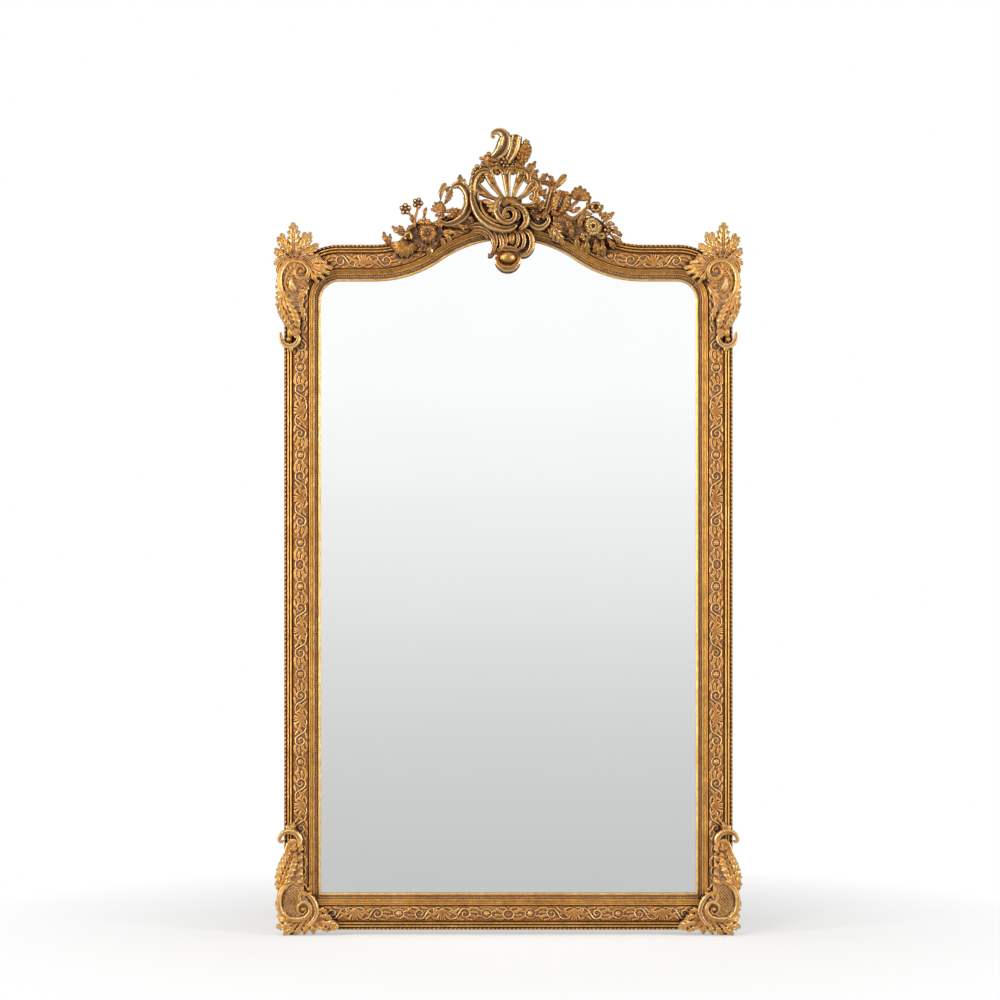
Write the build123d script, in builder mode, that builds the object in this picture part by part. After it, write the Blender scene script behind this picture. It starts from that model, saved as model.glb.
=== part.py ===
from build123d import *
import os
from math import cos, degrees, asin, radians, sin

# Full-length gilt floor mirror with a serpentine top, carved corners and a pierced crest.
#
# Frame: millimetres, +Z up, the glass faces -Y. The origin is on the floor, under the middle of the
# bounding box. Two measures place every moulding: "d" is the distance outwards from the sight edge
# (the inner edge that the eye sees), and "h" is the height forwards from the back plane of the frame.

os.makedirs("parts", exist_ok=True)

# ---------------------------------------------------------------- driving dimensions
SIGHT_WIDTH = 840.0  # visible glass, stile to stile
SHOULDER_HEIGHT = 1369.0  # visible glass, bottom rail to the level shoulders of the top rail
SWELL_RISE = 94.0  # rise of the serpentine top above its shoulders
SWELL_HALF_SPAN = 300.0  # half the width that the rise takes
CORNER_RADIUS = 42.0  # round of the two top corners of the sight edge
FOOT_HEIGHT = 10.0  # floor to the underside of the frame

# Widths of the bands of the rail, from the sight edge outwards.
SLIP_WIDTH = 14.5
COVE_WIDTH = 10.0
GROOVE_WIDTH = 3.5
FRIEZE_WIDTH = 32.0
FILLET_WIDTH = 6.0
BEAD_WIDTH = 8.0
ROPE_WIDTH = 7.5
EDGE_MARGIN = 0.5  # the carcass stands this far outside the rope

# Depth of the wooden carcass, and how far each band of the rail rises in front of it.
CARCASS_DEPTH = 22.0
LIP_RISE = 7.0
PEARL_RISE = 13.0
COVE_LOW_RISE = 13.0
COVE_HIGH_RISE = 20.0
GROUND_EDGE_RISE = 16.0
GROUND_CROWN_RISE = 19.0
FRIEZE_RELIEF = 4.0
FILLET_RISE = 21.0
BEAD_RISE = 24.0
ROPE_LOW_RISE = 2.0
ROPE_HIGH_RISE = 16.0
GLUE_LINE = 0.2
CREST_RISE = 70.0  # the foremost point of the crest
BUMPER_THICKNESS = 8.0

# Glass package.
GLASS_COVER = 10.0  # how far the slip covers the glass
GLASS_THICKNESS = 5.0
FOAM_THICKNESS = 2.0
BOARD_THICKNESS = 6.0
BOARD_COVER = 10.5
REBATE = 12.0  # sight edge to the inner face of the carcass

# Hardware.
SCREW_RADIUS = 1.75
SCREW_HEAD_RADIUS = 3.6
SCREW_HEAD_HEIGHT = 2.0
SCREW_BITE = 12.0
PILOT_CLEARANCE = 0.05
PLATE_CLEARANCE = 0.3
IRON_THICKNESS = 2.0
IRON_WIDTH = 18.0
IRON_ARM = 80.0
CLIP_THICKNESS = 1.5
CLIP_WIDTH = 14.0
CLIP_TAB = 22.0
CLIP_REACH = 14.0
CLIP_MARGIN = 160.0  # sight corner to the first clip on a stile
STILE_CLIPS = 4
STRAP_THICKNESS = 1.2
STRAP_WIDTH = 28.0
STRAP_LENGTH = 88.0
HANGER_DROP = 240.0  # shoulders down to the hanger's pivot
RING_RADIUS = 19.0
RING_WIRE_RADIUS = 2.2
RING_CLEARANCE = 0.1
STRAP_HOLES = (32.0, 52.0, 74.0)
BUMPER_RADIUS = 10.0
FOOT_WIDTH = 32.0
FOOT_DEPTH = 38.0
FOOT_SETBACK = 2.0
CLEAT_WIDTH = 26.0
CLEAT_THICKNESS = 3.0
CLEAT_CLEARANCE = 0.5  # between the cleat and the tab of the middle top clip
CLEAT_OVERRUN = 10.5  # how far the cleat stands above the top rail
CASTING_WEB = 6.0  # thickness of the flat web behind the carved castings
RELIEF_FOOT = 3.0  # how deep in the web the reliefs are rooted
RELIEF_INSET = 0.8  # how far a relief stands inside the outline of its web

# ---------------------------------------------------------------- derived places
COVE_START = SLIP_WIDTH
GROOVE_START = COVE_START + COVE_WIDTH
FRIEZE_START = GROOVE_START + GROOVE_WIDTH
FRIEZE_END = FRIEZE_START + FRIEZE_WIDTH
BEAD_START = FRIEZE_END + FILLET_WIDTH
BEAD_END = BEAD_START + BEAD_WIDTH
ROPE_END = BEAD_END + ROPE_WIDTH
RAIL_WIDTH = ROPE_END + EDGE_MARGIN

# Heights from the back plane.
LIP_HEIGHT = CARCASS_DEPTH + LIP_RISE
PEARL_HEIGHT = CARCASS_DEPTH + PEARL_RISE
COVE_LOW = CARCASS_DEPTH + COVE_LOW_RISE
COVE_HIGH = CARCASS_DEPTH + COVE_HIGH_RISE
GROUND_EDGE = CARCASS_DEPTH + GROUND_EDGE_RISE
GROUND_CROWN = CARCASS_DEPTH + GROUND_CROWN_RISE
FILLET_HEIGHT = CARCASS_DEPTH + FILLET_RISE
BEAD_HEIGHT = CARCASS_DEPTH + BEAD_RISE
ROPE_LOW = CARCASS_DEPTH + ROPE_LOW_RISE
ROPE_HIGH = CARCASS_DEPTH + ROPE_HIGH_RISE
CREST_FRONT = CARCASS_DEPTH + CREST_RISE

HALF_SIGHT = SIGHT_WIDTH / 2
SIGHT_BOTTOM = FOOT_HEIGHT + RAIL_WIDTH
SHOULDER_Z = SIGHT_BOTTOM + SHOULDER_HEIGHT
PEAK_Z = SHOULDER_Z + SWELL_RISE
HALF_OUTER = HALF_SIGHT + RAIL_WIDTH
OUTER_TOP = SHOULDER_Z + RAIL_WIDTH
BACK_Y = (CREST_FRONT - BUMPER_THICKNESS) / 2  # centres the bounding box on y = 0
CASTING_BACK = BEAD_HEIGHT + GLUE_LINE

# The serpentine is two equal arcs a side, tangent half-way up.
SWELL_RADIUS = ((SWELL_HALF_SPAN / 2) ** 2 + (SWELL_RISE / 2) ** 2) / SWELL_RISE
SWELL_ANGLE = degrees(asin(SWELL_HALF_SPAN / 2 / SWELL_RADIUS))
GLASS_BACK = CARCASS_DEPTH - GLASS_THICKNESS
BOARD_FRONT = GLASS_BACK - FOAM_THICKNESS
BOARD_BACK = BOARD_FRONT - BOARD_THICKNESS
RAIL_CENTRE = (REBATE + RAIL_WIDTH) / 2
STILE_X = HALF_SIGHT + RAIL_CENTRE
PIVOT_Z = SHOULDER_Z - HANGER_DROP
BORE_RADIUS = RING_WIRE_RADIUS + RING_CLEARANCE
BARREL_RADIUS = BORE_RADIUS + STRAP_THICKNESS


def layer(h):
    """The plane parallel to the glass, h in front of the back plane; its x and y are X and Z."""
    return Plane.XZ.offset(h - BACK_Y)


def section_plane(x, z, outward):
    """A plane across a rail: its x is d, its y is h, and it faces along the rail."""
    c, s = cos(radians(outward)), sin(radians(outward))
    return Plane(origin=(x, BACK_Y, z), x_dir=(c, 0, s), z_dir=(s, 0, -c))


def polar(x, z, radius, angle):
    """The point at that radius and angle from (x, z)."""
    return (x + radius * cos(radians(angle)), z + radius * sin(radians(angle)))


def top_edge(d):
    """Adds the top line of the frame at distance d: quarter rounds, shoulders and serpentine."""
    corner = (HALF_SIGHT - CORNER_RADIUS, SHOULDER_Z - CORNER_RADIUS)
    low_centre = (SWELL_HALF_SPAN, SHOULDER_Z + SWELL_RADIUS)
    high_centre = (0, PEAK_Z - SWELL_RADIUS)
    top = SHOULDER_Z + d
    turn = SWELL_ANGLE
    CenterArc((-corner[0], corner[1]), CORNER_RADIUS + d, 180, -90)
    Line((-corner[0], top), (-SWELL_HALF_SPAN, top))
    CenterArc((-low_centre[0], low_centre[1]), SWELL_RADIUS - d, 270, turn)
    CenterArc(high_centre, SWELL_RADIUS + d, 90 + turn, -2 * turn)
    CenterArc(low_centre, SWELL_RADIUS - d, 270 - turn, turn)
    Line((SWELL_HALF_SPAN, top), (corner[0], top))
    CenterArc(corner, CORNER_RADIUS + d, 90, -90)


def sheet(d, h, thickness):
    """A flat sheet of the opening's shape, grown by d and lying from h forwards."""
    side, low, spring = HALF_SIGHT + d, SIGHT_BOTTOM - d, SHOULDER_Z - CORNER_RADIUS
    with BuildPart() as part:
        with BuildSketch(layer(h)):
            with BuildLine():
                Polyline((-side, spring), (-side, low), (side, low), (side, spring))
                top_edge(d)
            make_face()
        extrude(amount=thickness)
    return part


# ---------------------------------------------------------------- rail sections, d across and h up
def carcass_section(plane):
    with BuildSketch(plane) as sketch:
        with BuildLine():
            Polyline(
                (REBATE, 0),
                (RAIL_WIDTH, 0),
                (RAIL_WIDTH, CARCASS_DEPTH),
                (REBATE, CARCASS_DEPTH),
                close=True,
            )
        make_face()
    return sketch.sketch


def moulding_section(plane):
    mid_frieze = (FRIEZE_START + FRIEZE_END) / 2
    bead_low = BEAD_HEIGHT - BEAD_WIDTH / 2
    with BuildSketch(plane) as sketch:
        with BuildLine():
            Line((COVE_START, CARCASS_DEPTH), (COVE_START, COVE_LOW))
            ThreePointArc(
                (COVE_START, COVE_LOW),
                (COVE_START + 0.62 * COVE_WIDTH, COVE_LOW + 0.28 * (COVE_HIGH - COVE_LOW)),
                (GROOVE_START, COVE_HIGH),
            )
            Polyline(
                (GROOVE_START, COVE_HIGH),
                (GROOVE_START + GROOVE_WIDTH / 2, COVE_HIGH),
                (GROOVE_START + GROOVE_WIDTH / 2, GROUND_EDGE - 1),
                (FRIEZE_START, GROUND_EDGE - 1),
                (FRIEZE_START, GROUND_EDGE),
            )
            ThreePointArc((FRIEZE_START, GROUND_EDGE), (mid_frieze, GROUND_CROWN), (FRIEZE_END, GROUND_EDGE))
            Polyline(
                (FRIEZE_END, GROUND_EDGE),
                (FRIEZE_END, FILLET_HEIGHT),
                (BEAD_START - FILLET_WIDTH / 4, FILLET_HEIGHT),
                (BEAD_START - FILLET_WIDTH / 4, bead_low - 1),
                (BEAD_START, bead_low - 1),
                (BEAD_START, bead_low),
            )
            ThreePointArc(
                (BEAD_START, bead_low),
                (BEAD_START + BEAD_WIDTH / 2, BEAD_HEIGHT),
                (BEAD_END, bead_low),
            )
            Polyline((BEAD_END, bead_low), (BEAD_END, CARCASS_DEPTH), (COVE_START, CARCASS_DEPTH))
        make_face()
    return sketch.sketch


def slip_section(plane):
    lip_end = 0.34 * SLIP_WIDTH
    with BuildSketch(plane) as sketch:
        with BuildLine():
            Polyline((0, CARCASS_DEPTH), (0, LIP_HEIGHT), (lip_end, LIP_HEIGHT), (lip_end, LIP_HEIGHT + 2))
            ThreePointArc(
                (lip_end, LIP_HEIGHT + 2),
                ((lip_end + SLIP_WIDTH - 1) / 2, PEARL_HEIGHT),
                (SLIP_WIDTH - 1, LIP_HEIGHT + 3.5),
            )
            Polyline(
                (SLIP_WIDTH - 1, LIP_HEIGHT + 3.5),
                (SLIP_WIDTH, LIP_HEIGHT + 3.5),
                (SLIP_WIDTH, CARCASS_DEPTH),
                (0, CARCASS_DEPTH),
            )
        make_face()
    return sketch.sketch


def frieze_section(plane):
    mid = (FRIEZE_START + FRIEZE_END) / 2
    edge = GROUND_EDGE + 0.75 * FRIEZE_RELIEF
    with BuildSketch(plane) as sketch:
        with BuildLine():
            ThreePointArc((FRIEZE_START, GROUND_EDGE), (mid, GROUND_CROWN), (FRIEZE_END, GROUND_EDGE))
            Line((FRIEZE_END, GROUND_EDGE), (FRIEZE_END, edge))
            ThreePointArc((FRIEZE_END, edge), (mid, GROUND_CROWN + FRIEZE_RELIEF), (FRIEZE_START, edge))
            Line((FRIEZE_START, edge), (FRIEZE_START, GROUND_EDGE))
        make_face()
    return sketch.sketch


def rope_section(plane):
    with BuildSketch(plane) as sketch:
        with BuildLine():
            ThreePointArc((BEAD_END, ROPE_LOW), (ROPE_END, (ROPE_LOW + ROPE_HIGH) / 2), (BEAD_END, ROPE_HIGH))
            Line((BEAD_END, ROPE_HIGH), (BEAD_END, ROPE_LOW))
        make_face()
    return sketch.sketch


# ---------------------------------------------------------------- rails, mitred at the corners
def left_mitre():
    """The plane through the bottom left mitre; its top side holds the stile."""
    return Plane(origin=(-HALF_SIGHT, 0, SIGHT_BOTTOM), z_dir=(-1, 0, 1))


def left_stile(section, pilots=()):
    """A stile: up from the bottom mitre, and round the first half of the top corner."""
    start = (-HALF_SIGHT, SIGHT_BOTTOM - RAIL_WIDTH)
    spring = (-HALF_SIGHT, SHOULDER_Z - CORNER_RADIUS)
    with BuildLine(Plane.XZ) as path:
        Line(start, spring)
        CenterArc((spring[0] + CORNER_RADIUS, spring[1]), CORNER_RADIUS, 180, -45)
    with BuildPart() as part:
        add(section(section_plane(*start, 180)))
        sweep(path=path.wire())
        split(bisect_by=left_mitre(), keep=Keep.TOP)
        drill(pilots)
    return part


def bottom_rail(section, pilots=()):
    """The bottom rail, between its two mitres."""
    with BuildPart() as part:
        extrude(section(section_plane(0, SIGHT_BOTTOM, 270)), amount=HALF_OUTER, both=True)
        split(bisect_by=left_mitre(), keep=Keep.BOTTOM)
        split(bisect_by=Plane(origin=(HALF_SIGHT, 0, SIGHT_BOTTOM), z_dir=(1, 0, 1)), keep=Keep.BOTTOM)
        drill(pilots)
    return part


def top_rail(section, pilots=()):
    """The serpentine top rail, from the middle of one round corner to the middle of the other."""
    corner = (HALF_SIGHT - CORNER_RADIUS, SHOULDER_Z - CORNER_RADIUS)
    start = polar(-corner[0], corner[1], CORNER_RADIUS, 135)
    with BuildLine(Plane.XZ) as path:
        CenterArc((-corner[0], corner[1]), CORNER_RADIUS, 135, -45)
        Line((-corner[0], SHOULDER_Z), (-SWELL_HALF_SPAN, SHOULDER_Z))
        CenterArc((-SWELL_HALF_SPAN, SHOULDER_Z + SWELL_RADIUS), SWELL_RADIUS, 270, SWELL_ANGLE)
        CenterArc((0, PEAK_Z - SWELL_RADIUS), SWELL_RADIUS, 90 + SWELL_ANGLE, -2 * SWELL_ANGLE)
        CenterArc((SWELL_HALF_SPAN, SHOULDER_Z + SWELL_RADIUS), SWELL_RADIUS, 270 - SWELL_ANGLE, SWELL_ANGLE)
        Line((SWELL_HALF_SPAN, SHOULDER_Z), (corner[0], SHOULDER_Z))
        CenterArc(corner, CORNER_RADIUS, 90, -45)
    with BuildPart() as part:
        add(section(section_plane(*start, 135)))
        sweep(path=path.wire())
        drill(pilots)
    return part


def drill(points):
    """Pilot holes for the screws that enter the open part from behind."""
    if points:
        hole = Cylinder(
            SCREW_RADIUS + PILOT_CLEARANCE,
            SCREW_BITE + 1,
            align=(Align.CENTER, Align.CENTER, Align.MIN),
            mode=Mode.PRIVATE,
        )
        add([layer(0).location * Pos(x, z, 0) * hole for x, z in points], mode=Mode.SUBTRACT)


def mirrored(part):
    """The right-hand twin of a left-hand piece."""
    with BuildPart() as twin:
        mirror(part.part, about=Plane.YZ)
    return twin


def both_sides(points):
    """The points and their mirror images."""
    return [(sign * x, z) for x, z in points for sign in (-1, 1)]


def screws(points, seat, length):
    """Round-headed screws driven forwards; their heads sit behind the plane h = seat."""
    with BuildPart() as part:
        with BuildSketch(layer(seat - SCREW_HEAD_HEIGHT)):
            with Locations(*points):
                Circle(SCREW_HEAD_RADIUS)
        extrude(amount=SCREW_HEAD_HEIGHT)
        with BuildSketch(layer(seat)):
            with Locations(*points):
                Circle(SCREW_RADIUS)
        extrude(amount=length)
    return part


def flat_plate(outline, holes, thickness):
    """A steel plate on the back plane: the outline sketch, less its screw holes."""
    with BuildPart() as part:
        with BuildSketch(layer(-thickness)):
            add(outline)
            with Locations(*holes):
                Circle(SCREW_RADIUS + PLATE_CLEARANCE, mode=Mode.SUBTRACT)
        extrude(amount=thickness)
    return part


# ---------------------------------------------------------------- carved shapes for the castings
# A casting is a flat web, which is the union of its shapes' outlines, with each shape's relief
# standing on it a little inside its own outline.
def leaf(x, z, angle, length, width, up):
    """A pointed leaf that grows from (x, z) at that angle: its outline and its relief."""
    shapes = []
    for inset in (0, RELIEF_INSET):
        with BuildSketch() as sketch:
            with BuildLine():
                ThreePointArc((inset, 0), (0.45 * length, width / 2 - inset), (length - 2 * inset, 0))
                ThreePointArc((length - 2 * inset, 0), (0.45 * length, inset - width / 2), (inset, 0))
            make_face()
        shapes.append(sketch.sketch)
    outline, top = shapes
    with BuildPart(layer(RELIEF_FOOT)) as relief:
        with Locations(Location((x, z, 0), (0, 0, angle))):
            add(outline_prism(top, up))
    with BuildSketch() as placed:
        with Locations(Location((x, z, 0), (0, 0, angle))):
            add(outline)
    return placed.sketch, relief.part


def outline_prism(outline, up):
    """A prism on the XY plane, from the foot of the reliefs to the height up above the web's back."""
    with BuildPart() as part:
        extrude(outline, amount=up - RELIEF_FOOT)
    return part.part


def scroll(x, z, radius, width, start, turn, up):
    """A crowned band bent round (x, z), a C-scroll from the start angle on: outline and relief."""
    half = width / 2
    with BuildSketch() as outline:
        with BuildLine():
            CenterArc((x, z), radius + half, start, turn)
            CenterArc((x, z), radius - half, start, turn)
            Line(polar(x, z, radius - half, start), polar(x, z, radius + half, start))
            Line(polar(x, z, radius - half, start + turn), polar(x, z, radius + half, start + turn))
        make_face()
    inner = half - RELIEF_INSET
    shoulder = 0.65 * up
    margin = degrees(RELIEF_INSET / radius)
    first = polar(x, z, radius, start + margin)
    with BuildPart() as relief:
        with BuildSketch(section_plane(*first, start + margin)):
            with BuildLine():
                Polyline(
                    (-inner, RELIEF_FOOT),
                    (inner, RELIEF_FOOT),
                    (inner, shoulder),
                    (0, up),
                    (-inner, shoulder),
                    close=True,
                )
            make_face()
        revolve(axis=Axis((x, 0, z), (0, -1, 0)), revolution_arc=turn - 2 * margin)
    return outline.sketch, relief.part


def boss(x, z, radius, up):
    """A domed round, the heart of a flower or the eye of a volute: outline and relief."""
    with BuildSketch() as outline:
        with Locations((x, z)):
            Circle(radius)
    inner = radius - RELIEF_INSET
    rise = min(0.6 * inner, 0.5 * (up - RELIEF_FOOT))
    dome = (inner**2 + rise**2) / (2 * rise)
    half_turn = asin(inner / dome) / 2
    shoulder = (dome * sin(half_turn), up - dome * (1 - cos(half_turn)))
    with BuildPart() as relief:
        with BuildSketch(section_plane(x, z, 0)):
            with BuildLine():
                Polyline((0, up), (0, RELIEF_FOOT), (inner, RELIEF_FOOT), (inner, up - rise))
                ThreePointArc((inner, up - rise), shoulder, (0, up))
            make_face()
        revolve(axis=Axis((x, 0, z), (0, -1, 0)))
    return outline.sketch, relief.part


def web(points):
    """A plain part of the web, with straight sides and no relief."""
    with BuildSketch() as outline:
        with BuildLine():
            Polyline(*points, close=True)
        make_face()
    return outline.sketch, None


def casting(shapes, low=CASTING_BACK, thickness=CASTING_WEB):
    """One casting of the shapes, with the back of its web at h = low."""
    with BuildPart() as part:
        with BuildSketch(layer(0)):
            add([outline for outline, relief in shapes])
        extrude(amount=thickness)
        add([relief for outline, relief in shapes if relief])
    with BuildPart() as placed:
        with Locations((0, -low, 0)):
            add(part.part)
    return placed


def write(name, part):
    """Labels a finished piece and exports it."""
    part.part.label = name
    export_step(part.part, f"parts/{name}.step")


# ---------------------------------------------------------------- screw places on the back
clip_seats = []
stile_pitch = (SHOULDER_HEIGHT - 2 * CLIP_MARGIN) / (STILE_CLIPS - 1)
for step in range(STILE_CLIPS):
    clip_z = SIGHT_BOTTOM + CLIP_MARGIN + step * stile_pitch
    clip_seats += [(-HALF_SIGHT, clip_z, 180), (HALF_SIGHT, clip_z, 0)]
for share in (-0.6, 0.0, 0.6):
    clip_seats.append((share * HALF_SIGHT, SIGHT_BOTTOM, 270))
shoulder_clip_x = (SWELL_HALF_SPAN + HALF_SIGHT - CORNER_RADIUS) / 2
clip_seats += [(-shoulder_clip_x, SHOULDER_Z, 90), (0, PEAK_Z, 90), (shoulder_clip_x, SHOULDER_Z, 90)]
clip_hole = REBATE + 0.6 * CLIP_TAB
clip_points = [polar(x, z, clip_hole, outward) for x, z, outward in clip_seats]

iron_corner = (-STILE_X, SIGHT_BOTTOM - RAIL_CENTRE)
iron_steps = (0.42 * IRON_ARM, 0.82 * IRON_ARM)
iron_points = [(iron_corner[0], iron_corner[1] + s) for s in iron_steps]
iron_points += [(iron_corner[0] + s, iron_corner[1]) for s in iron_steps]
plate_centre = polar(
    -(HALF_SIGHT - CORNER_RADIUS), SHOULDER_Z - CORNER_RADIUS, CORNER_RADIUS + RAIL_CENTRE, 135
)
plate_points = [polar(*plate_centre, s, 45) for s in (-34, -16, 16, 34)]
strap_points = [(-STILE_X, PIVOT_Z - drop) for drop in STRAP_HOLES]
CLEAT_START = REBATE + CLIP_TAB + CLEAT_CLEARANCE
cleat_points = [(0, PEAK_Z + CLEAT_START + 10), (0, PEAK_Z + RAIL_WIDTH - 12)]
block_point = (0, PEAK_Z + RAIL_WIDTH + 0.6 * CLEAT_OVERRUN)

stile_pilots = clip_points + iron_points + plate_points + strap_points
stile_pilots = [p for p in stile_pilots if p[0] < 0]
rail_pilots = clip_points + both_sides(iron_points) + both_sides(plate_points) + cleat_points

# ---------------------------------------------------------------- wooden carcass and gilt mouldings
foot_x = HALF_OUTER - 2 - FOOT_WIDTH / 2
foot_y = BACK_Y - FOOT_SETBACK - FOOT_DEPTH / 2
foot_screw_y = BACK_Y - CARCASS_DEPTH / 2

left_carcass = left_stile(carcass_section, stile_pilots)
right_carcass = mirrored(left_carcass)
top_carcass = top_rail(carcass_section, rail_pilots)
with BuildPart() as bottom_carcass:
    add(bottom_rail(carcass_section, rail_pilots).part)
    with BuildSketch(Plane.XY.offset(FOOT_HEIGHT)):
        with Locations((-foot_x, foot_screw_y), (foot_x, foot_screw_y)):
            Circle(SCREW_RADIUS + PILOT_CLEARANCE)
    extrude(amount=SCREW_BITE, mode=Mode.SUBTRACT)

write("left_carcass_stile", left_carcass)
write("right_carcass_stile", right_carcass)
write("top_carcass_rail", top_carcass)
write("bottom_carcass_rail", bottom_carcass)

for kind, section in (
    ("moulding", moulding_section),
    ("sight_slip", slip_section),
    ("frieze", frieze_section),
    ("rope_edge", rope_section),
):
    stile = left_stile(section)
    write(f"left_{kind}", stile)
    write(f"right_{kind}", mirrored(stile))
    write(f"bottom_{kind}", bottom_rail(section))
    write(f"top_{kind}", top_rail(section))

# ---------------------------------------------------------------- glass package
write("mirror_glass", sheet(GLASS_COVER, GLASS_BACK, GLASS_THICKNESS))
write("foam_sheet", sheet(GLASS_COVER, BOARD_FRONT, FOAM_THICKNESS))
write("back_board", sheet(BOARD_COVER, BOARD_BACK, BOARD_THICKNESS))

block_z = SIGHT_BOTTOM - (GLASS_COVER + REBATE) / 2
with BuildPart() as setting_blocks:
    with BuildSketch(layer(GLASS_BACK)):
        with Locations((-HALF_SIGHT / 2, block_z), (HALF_SIGHT / 2, block_z)):
            Rectangle(60, REBATE - GLASS_COVER)
    extrude(amount=GLASS_THICKNESS)
write("setting_blocks", setting_blocks)


def offset_clip(x, z, outward):
    """A stepped steel clip: one tab on the carcass, the other pressing on the back board."""
    riser = REBATE - CLIP_THICKNESS
    with BuildPart() as part:
        with BuildSketch(section_plane(x, z, outward)):
            with BuildLine():
                Polyline(
                    (REBATE + CLIP_TAB, -CLIP_THICKNESS),
                    (riser - CLIP_THICKNESS, -CLIP_THICKNESS),
                    (riser - CLIP_THICKNESS, BOARD_BACK - CLIP_THICKNESS),
                    (riser - CLIP_REACH, BOARD_BACK - CLIP_THICKNESS),
                    (riser - CLIP_REACH, BOARD_BACK),
                    (riser, BOARD_BACK),
                    (riser, 0),
                    (REBATE + CLIP_TAB, 0),
                    close=True,
                )
            make_face()
        extrude(amount=CLIP_WIDTH / 2, both=True)
        with BuildSketch(layer(-CLIP_THICKNESS)):
            with Locations(polar(x, z, clip_hole, outward)):
                Circle(SCREW_RADIUS + PLATE_CLEARANCE)
        extrude(amount=CLIP_THICKNESS, mode=Mode.SUBTRACT)
    return part.part


with BuildPart() as offset_clips:
    add([offset_clip(*seat) for seat in clip_seats])
write("offset_clips", offset_clips)
write("clip_screws", screws(clip_points, -CLIP_THICKNESS, CLIP_THICKNESS + SCREW_BITE))

# ---------------------------------------------------------------- corner irons and mending plates
with BuildSketch() as iron_outline:
    with Locations((iron_corner[0], iron_corner[1] - IRON_WIDTH / 2)):
        Rectangle(IRON_WIDTH, IRON_ARM + IRON_WIDTH / 2, align=(Align.CENTER, Align.MIN))
    with Locations((iron_corner[0] - IRON_WIDTH / 2, iron_corner[1])):
        Rectangle(IRON_ARM + IRON_WIDTH / 2, IRON_WIDTH, align=(Align.MIN, Align.CENTER))
left_iron = flat_plate(iron_outline.sketch, iron_points, IRON_THICKNESS)
with BuildSketch() as plate_outline:
    with Locations(plate_centre):
        Rectangle(IRON_ARM + 6, IRON_WIDTH, rotation=45)
left_plate = flat_plate(plate_outline.sketch, plate_points, IRON_THICKNESS)
write("bottom_left_corner_iron", left_iron)
write("bottom_right_corner_iron", mirrored(left_iron))
write("top_left_mending_plate", left_plate)
write("top_right_mending_plate", mirrored(left_plate))
write(
    "iron_screws",
    screws(both_sides(iron_points + plate_points), -IRON_THICKNESS, IRON_THICKNESS + SCREW_BITE),
)

# ---------------------------------------------------------------- hanging hardware
with BuildPart() as left_strap:
    with BuildSketch(layer(-STRAP_THICKNESS)):
        with Locations((-STILE_X, PIVOT_Z)):
            Rectangle(STRAP_WIDTH, STRAP_LENGTH, align=(Align.CENTER, Align.MAX))
        with Locations(*strap_points):
            Circle(SCREW_RADIUS + PLATE_CLEARANCE, mode=Mode.SUBTRACT)
    extrude(amount=STRAP_THICKNESS)
    with BuildSketch(Plane.YZ.offset(-STILE_X)):
        with Locations((BACK_Y + BARREL_RADIUS, PIVOT_Z)):
            Circle(BARREL_RADIUS)
    extrude(amount=STRAP_WIDTH / 2, both=True)
    with BuildSketch(Plane.YZ.offset(-STILE_X)):
        with Locations((BACK_Y + BARREL_RADIUS, PIVOT_Z)):
            Circle(BORE_RADIUS)
    extrude(amount=STRAP_WIDTH, both=True, mode=Mode.SUBTRACT)

with BuildPart() as left_ring:
    with BuildSketch(Plane.YZ.offset(-STILE_X)):
        with Locations((BACK_Y + BARREL_RADIUS, PIVOT_Z)):
            Circle(RING_WIRE_RADIUS)
    extrude(amount=RING_RADIUS, both=True)
    with BuildSketch(section_plane(-STILE_X - RING_RADIUS, PIVOT_Z, 180)):
        with Locations((0, -BARREL_RADIUS)):
            Circle(RING_WIRE_RADIUS)
    revolve(axis=Axis((-STILE_X, 0, PIVOT_Z), (0, -1, 0)), revolution_arc=180)
    for side in (-1, 1):
        with Locations((-STILE_X + side * RING_RADIUS, BACK_Y + BARREL_RADIUS, PIVOT_Z)):
            Sphere(RING_WIRE_RADIUS)

write("left_hanger_strap", left_strap)
write("right_hanger_strap", mirrored(left_strap))
write("left_hanger_ring", left_ring)
write("right_hanger_ring", mirrored(left_ring))
write("hanger_screws", screws(both_sides(strap_points), -STRAP_THICKNESS, STRAP_THICKNESS + SCREW_BITE))

# ---------------------------------------------------------------- bumpers and feet
for level, bumper_z in (("lower", SIGHT_BOTTOM + 60), ("upper", SHOULDER_Z - 110)):
    with BuildPart() as bumper:
        with BuildSketch(layer(-BUMPER_THICKNESS)):
            with Locations((-STILE_X, bumper_z)):
                Circle(BUMPER_RADIUS)
        extrude(amount=BUMPER_THICKNESS)
    write(f"left_{level}_bumper", bumper)
    write(f"right_{level}_bumper", mirrored(bumper))

with BuildPart() as left_foot:
    with BuildSketch():
        with Locations((-foot_x, foot_y)):
            RectangleRounded(FOOT_WIDTH, FOOT_DEPTH, 4)
        with Locations((-foot_x, foot_screw_y)):
            Circle(SCREW_HEAD_RADIUS + PLATE_CLEARANCE, mode=Mode.SUBTRACT)
    extrude(amount=FOOT_HEIGHT / 2)
    with BuildSketch(Plane.XY.offset(FOOT_HEIGHT / 2)):
        with Locations((-foot_x, foot_y)):
            RectangleRounded(FOOT_WIDTH, FOOT_DEPTH, 4)
        with Locations((-foot_x, foot_screw_y)):
            Circle(SCREW_RADIUS + PLATE_CLEARANCE, mode=Mode.SUBTRACT)
    extrude(amount=FOOT_HEIGHT / 2)
write("left_foot", left_foot)
write("right_foot", mirrored(left_foot))

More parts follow.
